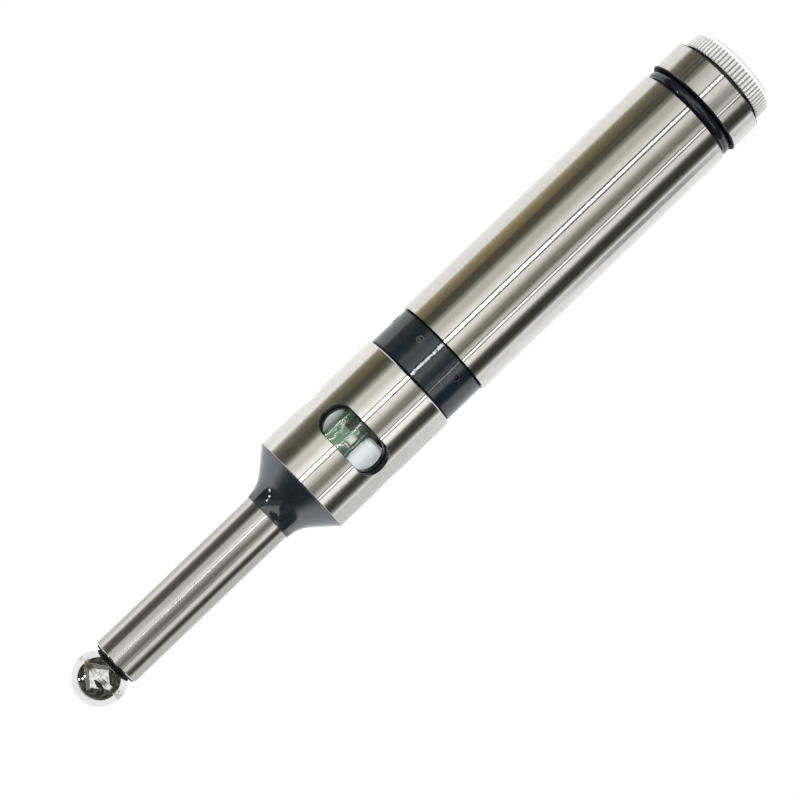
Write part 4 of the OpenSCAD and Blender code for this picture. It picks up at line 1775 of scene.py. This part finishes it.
LOW_CARDS: Tuple[Card, ...] = (
    Card(-180, (0.8, 0.8, 0.8)),
    Card(-145, (0.71, 0.705, 0.699)),
    Card(-123, (0.844, 0.838, 0.821)),
    Card(-109, (1.2, 1.19, 1.17)),
    Card(-99, (1.05, 1.04, 0.999)),
    Card(-90, (0.3, 0.289, 0.261)),
    Card(-83, (0.183, 0.18, 0.16)),
    Card(-72, (0.0921, 0.0899, 0.0777)),
    Card(-62, (0.111, 0.109, 0.0944)),
    Card(-53, (0.178, 0.178, 0.155)),
    Card(-46, (0.622, 0.616, 0.577)),
    Card(-33, (0.699, 0.688, 0.644)),
    Card(-24, (0.91, 0.899, 0.855)),
    Card(-15, (1.17, 1.15, 1.11)),
    Card(-2, (0.666, 0.655, 0.599)),
    Card(3, (0.355, 0.35, 0.311)),
    Card(10, (0.211, 0.205, 0.178)),
    Card(16, (0.189, 0.185, 0.158)),
    Card(33, (0.278, 0.272, 0.239)),
    Card(41, (0.4, 0.394, 0.355)),
    Card(51, (1.3, 1.3, 1.24)),
    Card(59, (0.799, 0.788, 0.744)),
    Card(68, (0.222, 0.222, 0.2)),
    Card(76, (0.0666, 0.0644, 0.0555)),
    Card(83, (0.0666, 0.0644, 0.0555)),
    Card(91, (0.311, 0.311, 0.3)),
    Card(99, (0.733, 0.738, 0.699)),
    Card(120, (0.688, 0.688, 0.683)),
    Card(180, (0.8, 0.8, 0.8)),
)


@dataclass(frozen=True)
class Strip:
    """A strip light along the axis between two dark bars, hotter where collar and window mirror it."""

    turn: float
    width: float
    level: float
    window_level: float
    collar_level: float
    low: float
    bar: float = 3.4
    bar_tone: Colour = (0.12, 0.12, 0.108)


@dataclass(frozen=True)
class Spot:
    """A small lamp in the room: how far it is off the camera, in degrees, and to which side."""

    right: float
    down: float
    off: float
    level: float = 14.0


@dataclass(frozen=True)
class Patch:
    """A part of the wall between two turns and two climbs, with soft edges, and its shade."""

    turns: Pair
    turn_soft: float
    climbs: Pair
    climb_soft: float
    shade: float = 0.0

    def mask(self, sheet: Sheet, turn: Value, climb: Value) -> Value:
        """1 inside the patch and 0 outside it."""
        across = sheet.between(turn, self.turns, self.turn_soft)
        return across * sheet.between(climb, self.climbs, self.climb_soft)


@dataclass(frozen=True)
class Diamond:
    """A diamond in the room: its middle and half its width and height, with a ragged edge."""

    turn: float
    climb: float
    half_width: float
    half_height: float
    ragged: float

    def share(self, turn: Value, climb: Value, noise: Value) -> Value:
        """0 in the middle of the diamond and 1 at its edge."""
        across = abs(turn - self.turn) / self.half_width
        return across + abs(climb - self.climb) / self.half_height + noise.swing(self.ragged)


@dataclass(frozen=True)
class FloorPaint:
    """White floor paint, seen from above and clear from below."""

    name: str = "floor_white"
    tint: Colour = (0.94, 0.94, 0.94)
    shade: Colour = (0.97, 0.97, 0.97)
    clouds: Grain = even(0.08, 3.0)

    def material(self) -> bpy.types.Material:
        """Makes the paint.

        Returns:
            The material.
        """
        material = bpy.data.materials.new(self.name)
        material.use_nodes = True
        sheet = Sheet(material.node_tree)
        plain = sheet.glossy(
            Base_Color=sheet.mix(sheet.grain(sheet.place(), self.clouds), self.tint, self.shade),
            Roughness=0.9,
            Specular_IOR_Level=0.0,
        )
        below = sheet.node("ShaderNodeNewGeometry").outputs["Backfacing"]
        clear = sheet.node("ShaderNodeBsdfTransparent").outputs[0]
        sheet.node("ShaderNodeOutputMaterial", {}, {"Surface": sheet.cover(below, plain, clear)})
        return material


@dataclass
class Studio:
    """Camera, reflected room, floor and lamps of the picture."""

    PAST_ALL: ClassVar[float] = 1000.0
    ALMOST_ONE: ClassVar[float] = 0.99999

    distance: float = 530.0
    eye_z: float = -49.0
    look_z: float = -11.8
    look_side: float = 1.27
    azimuth: float = -5.4
    axis_tilt: float = 43.83
    lens: float = 136.6
    clip: Pair = (0.01, 20.0)

    floor_z: float = -270.0
    floor_r: float = 900.0
    floor_sides: int = 96

    lamp_eye: Point = (-350.0, -600.0, 900.0)
    lamp_size: float = 0.7
    lamp_power: float = 6.0
    window_target: Point = (0.0, -9.0, -23.3)
    window_lamp_way: Point = (0.94, -0.3, 0.12)
    window_lamp_away: float = 480.0
    window_lamp_spread: float = 13.0
    window_lamp_size: float = 0.012
    window_lamp_blend: float = 0.4
    window_lamp_power: float = 5.6

    plain_level: float = 0.9
    paper_turn: float = 98.0
    paper_soft: float = 1.5
    under_up: Pair = (-0.55, -0.95)
    under_turn: float = 5.5
    under_soft: float = 7.5
    low_wall: Pair = (0.3, 1.4)
    band_climbs: Pair = (-4.3, 14.2)
    band_soft: float = 0.9
    window_climbs: Pair = (1.8, 3.9)
    collar_climbs: Pair = (4.0, 5.9)
    level_soft: float = 0.3
    tube_soft: float = 0.7
    tube_tone: Colour = (1.0, 1.0, 0.97)
    lit_turns: Pair = (-60.0, 66.0)
    lit_soft: float = 3.0
    lit_low: float = 0.3
    lit_low_climbs: Pair = (5.5, 3.5)
    dim_high: float = 0.1
    dim_high_climbs: Pair = (8.0, 12.0)
    shaded: Tuple[Patch, ...] = (
        Patch((-99.0, -60.0), 2.5, (-PAST_ALL, 4.7), 0.5, 0.35),
        Patch((103.0, PAST_ALL), 3.0, (-PAST_ALL, 4.5), 0.7, 0.35),
        Patch((103.0, 119.0), 3.0, (8.2, 11.4), 0.5, 0.72),
    )
    brown: Patch = Patch((-100.0, -73.0), 2.5, (4.9, 9.6), 0.9)
    brown_tone: Colour = (1.85, 1.58, 1.2)
    strips: Tuple[Strip, ...] = (
        Strip(-6.9, 5.2, 1.5, 8.0, 20.0, 1.1),
        Strip(45.8, 3.2, 1.6, 1.8, 4.5, -20.0, 2.4),
    )
    spots: Tuple[Spot, ...] = (
        Spot(-0.7, 0.72, 68.3),
        Spot(-0.66, 0.75, 86.0),
        Spot(-0.806, 0.592, 59.3),
    )
    spot_reach: Pair = (0.9988, 0.9994)

    clouds: Grain = even(4.0, 4.0, 0.6)
    wobbles: Grain = even(2.4, 3.0)
    light: Diamond = Diamond(1.0, 2.0, 61.0, 54.0, 0.16)
    light_edge: Pair = (0.97, 1.03)
    sky: Tuple[Colour, Colour] = ((0.66, 0.66, 0.63), (1.15, 1.14, 1.1))
    sky_clouds: Pair = (0.36, 0.6)
    dim: Tuple[Colour, Colour] = ((0.035, 0.036, 0.032), (0.12, 0.12, 0.095))
    dim_clouds: Pair = (0.42, 0.6)
    slat_tone: Colour = (0.5, 0.5, 0.47)
    slat_rate: float = 40.0
    slat_edge: Pair = (0.1, 0.6)
    slat_span: Pair = (1.06, 1.5)
    slat_span_soft: float = 0.04
    slat_turns: Pair = (4.0, -4.0)
    gloom: Diamond = Diamond(18.0, -15.0, 35.0, 13.0, 1.2)
    gloom_edge: Pair = (1.05, 0.9)
    gloom_tone: Colour = (0.04, 0.04, 0.038)

    def build(self) -> None:
        """Sets up the camera, the world, the floor and the lamps."""
        self._camera()
        self._world()
        self._floor()
        self._lamp()
        self._window_lamp()
        log.info("set up the studio")

    def _ways(self) -> Tuple[Vector, Vector]:
        """Directions from the object to the camera and to its right, both level."""
        a = math.radians(self.azimuth)
        return Vector((math.sin(a), -math.cos(a), 0.0)), Vector((math.cos(a), math.sin(a), 0.0))

    def _hang(self, name: str, data: bpy.types.ID, eye: Vector, turn: Matrix) -> bpy.types.Object:
        """Puts a camera or a lamp in the scene.

        Args:
            name: its name.
            data: its camera or lamp data.
            eye: where it is, in millimetres.
            turn: its rotation.

        Returns:
            The object.
        """
        made = bpy.data.objects.new(name, data)
        made.matrix_world = Matrix.Translation(eye * MM) @ turn.to_4x4()
        bpy.context.scene.collection.objects.link(made)
        return made

    def _camera(self) -> None:
        """Places the camera so that the axis climbs to the upper right."""
        out, right = self._ways()
        eye = out * self.distance + UP * self.eye_z
        target = right * self.look_side + UP * self.look_z
        ahead = (target - eye).normalized()
        along = (UP - ahead * UP.dot(ahead)).normalized()
        side = ahead.cross(along)
        a = math.radians(self.axis_tilt)
        picture_x = along * math.cos(a) + side * math.sin(a)
        picture_y = along * math.sin(a) - side * math.cos(a)
        data = bpy.data.cameras.new("camera")
        data.lens = self.lens
        data.clip_start, data.clip_end = self.clip
        turn = Matrix((picture_x, picture_y, -ahead)).transposed()
        bpy.context.scene.camera = self._hang("camera", data, eye, turn)

    def _wall(self, sheet: Sheet, cards: Sequence[Card], turn: Value) -> Socket:
        """One height of the wall as a ramp of its cards, from behind the object round its front."""
        stops = [((card.turn + 180) / 360, card.tone) for card in cards]
        return sheet.node("ShaderNodeValToRGB", {"stops": stops}, {0: turn / 360 + 0.5}).outputs[0]

    def _band(self, sheet: Sheet, turn: Value, climb: Value) -> Socket:
        """Makes the part of the room that the long cylinders mirror.

        Args:
            sheet: the world's nodes.
            turn: turn of the ray round the axis.
            climb: its climb above the level.

        Returns:
            The colour of the two heights of wall with the strip lights in front.
        """
        high = self._wall(sheet, HIGH_CARDS, turn)
        lit = sheet.between(turn, self.lit_turns, self.lit_soft)
        lift = self.lit_low * sheet.step(climb, *self.lit_low_climbs)
        fade = 1.0 + lit * (lift - self.dim_high * sheet.step(climb, *self.dim_high_climbs))
        for patch in self.shaded:
            fade = fade * (1.0 - patch.mask(sheet, turn, climb) * patch.shade)
        brown = self.brown.mask(sheet, turn, climb)
        high = sheet.mix(brown, sheet.tinted(high, fade), self.brown_tone, Blend.MULTIPLY)
        low = self._wall(sheet, LOW_CARDS, turn)
        band = sheet.mix(sheet.step(climb, *self.low_wall), low, high)
        at_window = sheet.between(climb, self.window_climbs, self.level_soft)
        at_collar = sheet.between(climb, self.collar_climbs, self.level_soft)
        for strip in self.strips:
            half = strip.width / 2
            stands = sheet.edge(climb, strip.low, self.level_soft)
            outer = (strip.turn - half - strip.bar, strip.turn + half + strip.bar)
            frame = sheet.between(turn, outer, self.level_soft)
            tube = sheet.between(turn, (strip.turn - half, strip.turn + half), self.tube_soft)
            band = sheet.mix(frame * stands, band, strip.bar_tone)
            glow = at_window * (strip.window_level - strip.level) + strip.level
            glow = glow + at_collar * (strip.collar_level - strip.level)
            band = sheet.mix(tube * stands, band, sheet.tinted(self.tube_tone, glow))
        return band

    def _room(self, sheet: Sheet, way: Socket) -> Socket:
        """Makes the room that metal and gloss mirror.

        Args:
            sheet: the world's nodes.
            way: direction of the ray.

        Returns:
            The room's colour: a light diamond in a dim room, paper behind, and the band of wall.
        """
        out, right = self._ways()
        near = sheet.dot(way, tuple(out))
        _, _, up = sheet.axes(way)
        turn = sheet.math("ARCTAN2", sheet.dot(way, tuple(right)), near) * DEGREES
        climb = sheet.math("ARCSINE", up * self.ALMOST_ONE) * DEGREES
        spread = sheet.math("ARCCOSINE", near * self.ALMOST_ONE) * DEGREES
        cloud = sheet.grain(way, self.clouds)
        sky = sheet.mix(sheet.step(cloud, *self.sky_clouds), *self.sky)
        dim = sheet.mix(sheet.step(cloud, *self.dim_clouds), *self.dim)
        shape = self.light.share(turn, climb, sheet.grain(way, self.wobbles))
        slats = sheet.step(sheet.math("SINE", shape * self.slat_rate), *self.slat_edge)
        slats = slats * sheet.between(shape, self.slat_span, self.slat_span_soft)
        dim = sheet.mix(slats * sheet.step(turn, *self.slat_turns), dim, self.slat_tone)
        room = sheet.mix(sheet.step(shape, *self.light_edge), sky, dim)
        gloom = self.gloom.share(turn, climb, cloud)
        room = sheet.mix(sheet.step(gloom, *self.gloom_edge), room, self.gloom_tone)
        in_band = sheet.between(climb, self.band_climbs, self.band_soft)
        room = sheet.mix(in_band, room, self._band(sheet, turn, climb))
        under = sheet.step(up, *self.under_up)
        past = spread - self.paper_turn + under * self.under_turn
        rise = past / (under * self.under_soft + self.paper_soft)
        return sheet.mix(sheet.step(rise, -1.0, 1.0) * (1.0 - in_band), room, PAPER)

    def _with_spot(self, sheet: Sheet, way: Socket, room: Socket, spot: Spot) -> Socket:
        """Adds a small lamp to the room.

        Args:
            sheet: the world's nodes.
            way: direction of the ray.
            room: the room's colour without the lamp.
            spot: the lamp.

        Returns:
            The room's colour with the lamp.
        """
        out, right = self._ways()
        a = math.radians(spot.off)
        aim = out * math.cos(a) + (right * spot.right - UP * spot.down) * math.sin(a)
        glow = sheet.step(sheet.dot(way, tuple(aim.normalized())), *self.spot_reach)
        return sheet.mix(glow, room, (spot.level, spot.level, spot.level))

    def _world(self) -> None:
        """Lights plain surfaces evenly and shows the room to metal and gloss only."""
        world = bpy.data.worlds.new("studio")
        bpy.context.scene.world = world
        world.use_nodes = True
        sheet = Sheet(world.node_tree)
        way = sheet.node("ShaderNodeTexCoord").outputs["Generated"]
        room = self._room(sheet, way)
        for spot in self.spots:
            room = self._with_spot(sheet, way, room, spot)
        ray = sheet.node("ShaderNodeLightPath").outputs
        level = self.plain_level
        colour = sheet.mix(Value(sheet, ray["Is Glossy Ray"]), (level, level, level), room)
        straight = Value(sheet, ray["Is Camera Ray"]) + Value(sheet, ray["Is Transmission Ray"])
        colour = sheet.mix(sheet.limited(straight), colour, WHITE)
        light = sheet.node("ShaderNodeBackground", {}, {"Color": colour, "Strength": 1.0})
        sheet.node("ShaderNodeOutputWorld", {}, {"Surface": light.outputs[0]})

    def _floor(self) -> None:
        """Lays a pale round floor below the held edge finder, which shows from above only."""
        rim = [2 * math.pi * k / self.floor_sides for k in range(self.floor_sides)]
        points = [(self.floor_r * math.cos(a) * MM, self.floor_r * math.sin(a) * MM, 0.0) for a in rim]
        mesh = bpy.data.meshes.new("floor")
        mesh.from_pydata(points, [], [tuple(range(self.floor_sides))])
        mesh.materials.append(FloorPaint().material())
        floor = bpy.data.objects.new("floor", mesh)
        floor.location = UP * (self.floor_z * MM)
        floor.visible_glossy = False
        bpy.context.scene.collection.objects.link(floor)

    def _lamp(self) -> None:
        """Hangs one large soft lamp above and in front."""
        data = bpy.data.lights.new("soft_lamp", "AREA")
        data.shape = "DISK"
        data.size = self.lamp_size
        data.energy = self.lamp_power
        eye = Vector(self.lamp_eye)
        lamp = self._hang("soft_lamp", data, eye, eye.to_track_quat("Z", "Y").to_matrix())
        lamp.visible_glossy = False

    def _window_lamp(self) -> None:
        """Shines a narrow lamp through the first window on the light unit."""
        out, right = self._ways()
        ahead, aside, above = self.window_lamp_way
        way = (out * ahead + right * aside + UP * above).normalized()
        target = Vector(self.window_target)
        eye = target + way * self.window_lamp_away
        data = bpy.data.lights.new("window_lamp", "SPOT")
        data.energy = self.window_lamp_power
        data.shadow_soft_size = self.window_lamp_size
        data.spot_size = 2 * math.atan(self.window_lamp_spread / self.window_lamp_away)
        data.spot_blend = self.window_lamp_blend
        lamp = self._hang("window_lamp", data, eye, (eye - target).to_track_quat("Z", "Y").to_matrix())
        lamp.visible_glossy = False


def main() -> None:
    """Builds the picture and the pieces."""
    logging.basicConfig(level=logging.INFO, format="%(message)s")
    bpy.context.scene.view_settings.view_transform = "Standard"
    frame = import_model()
    Studio().build()
    shop = Workshop(frame)
    for kind in (PowerEnd, Head, LightUnit, Stylus, SprungBall, CapEnd):
        kind(shop).build()


if __name__ == "__main__":
    main()
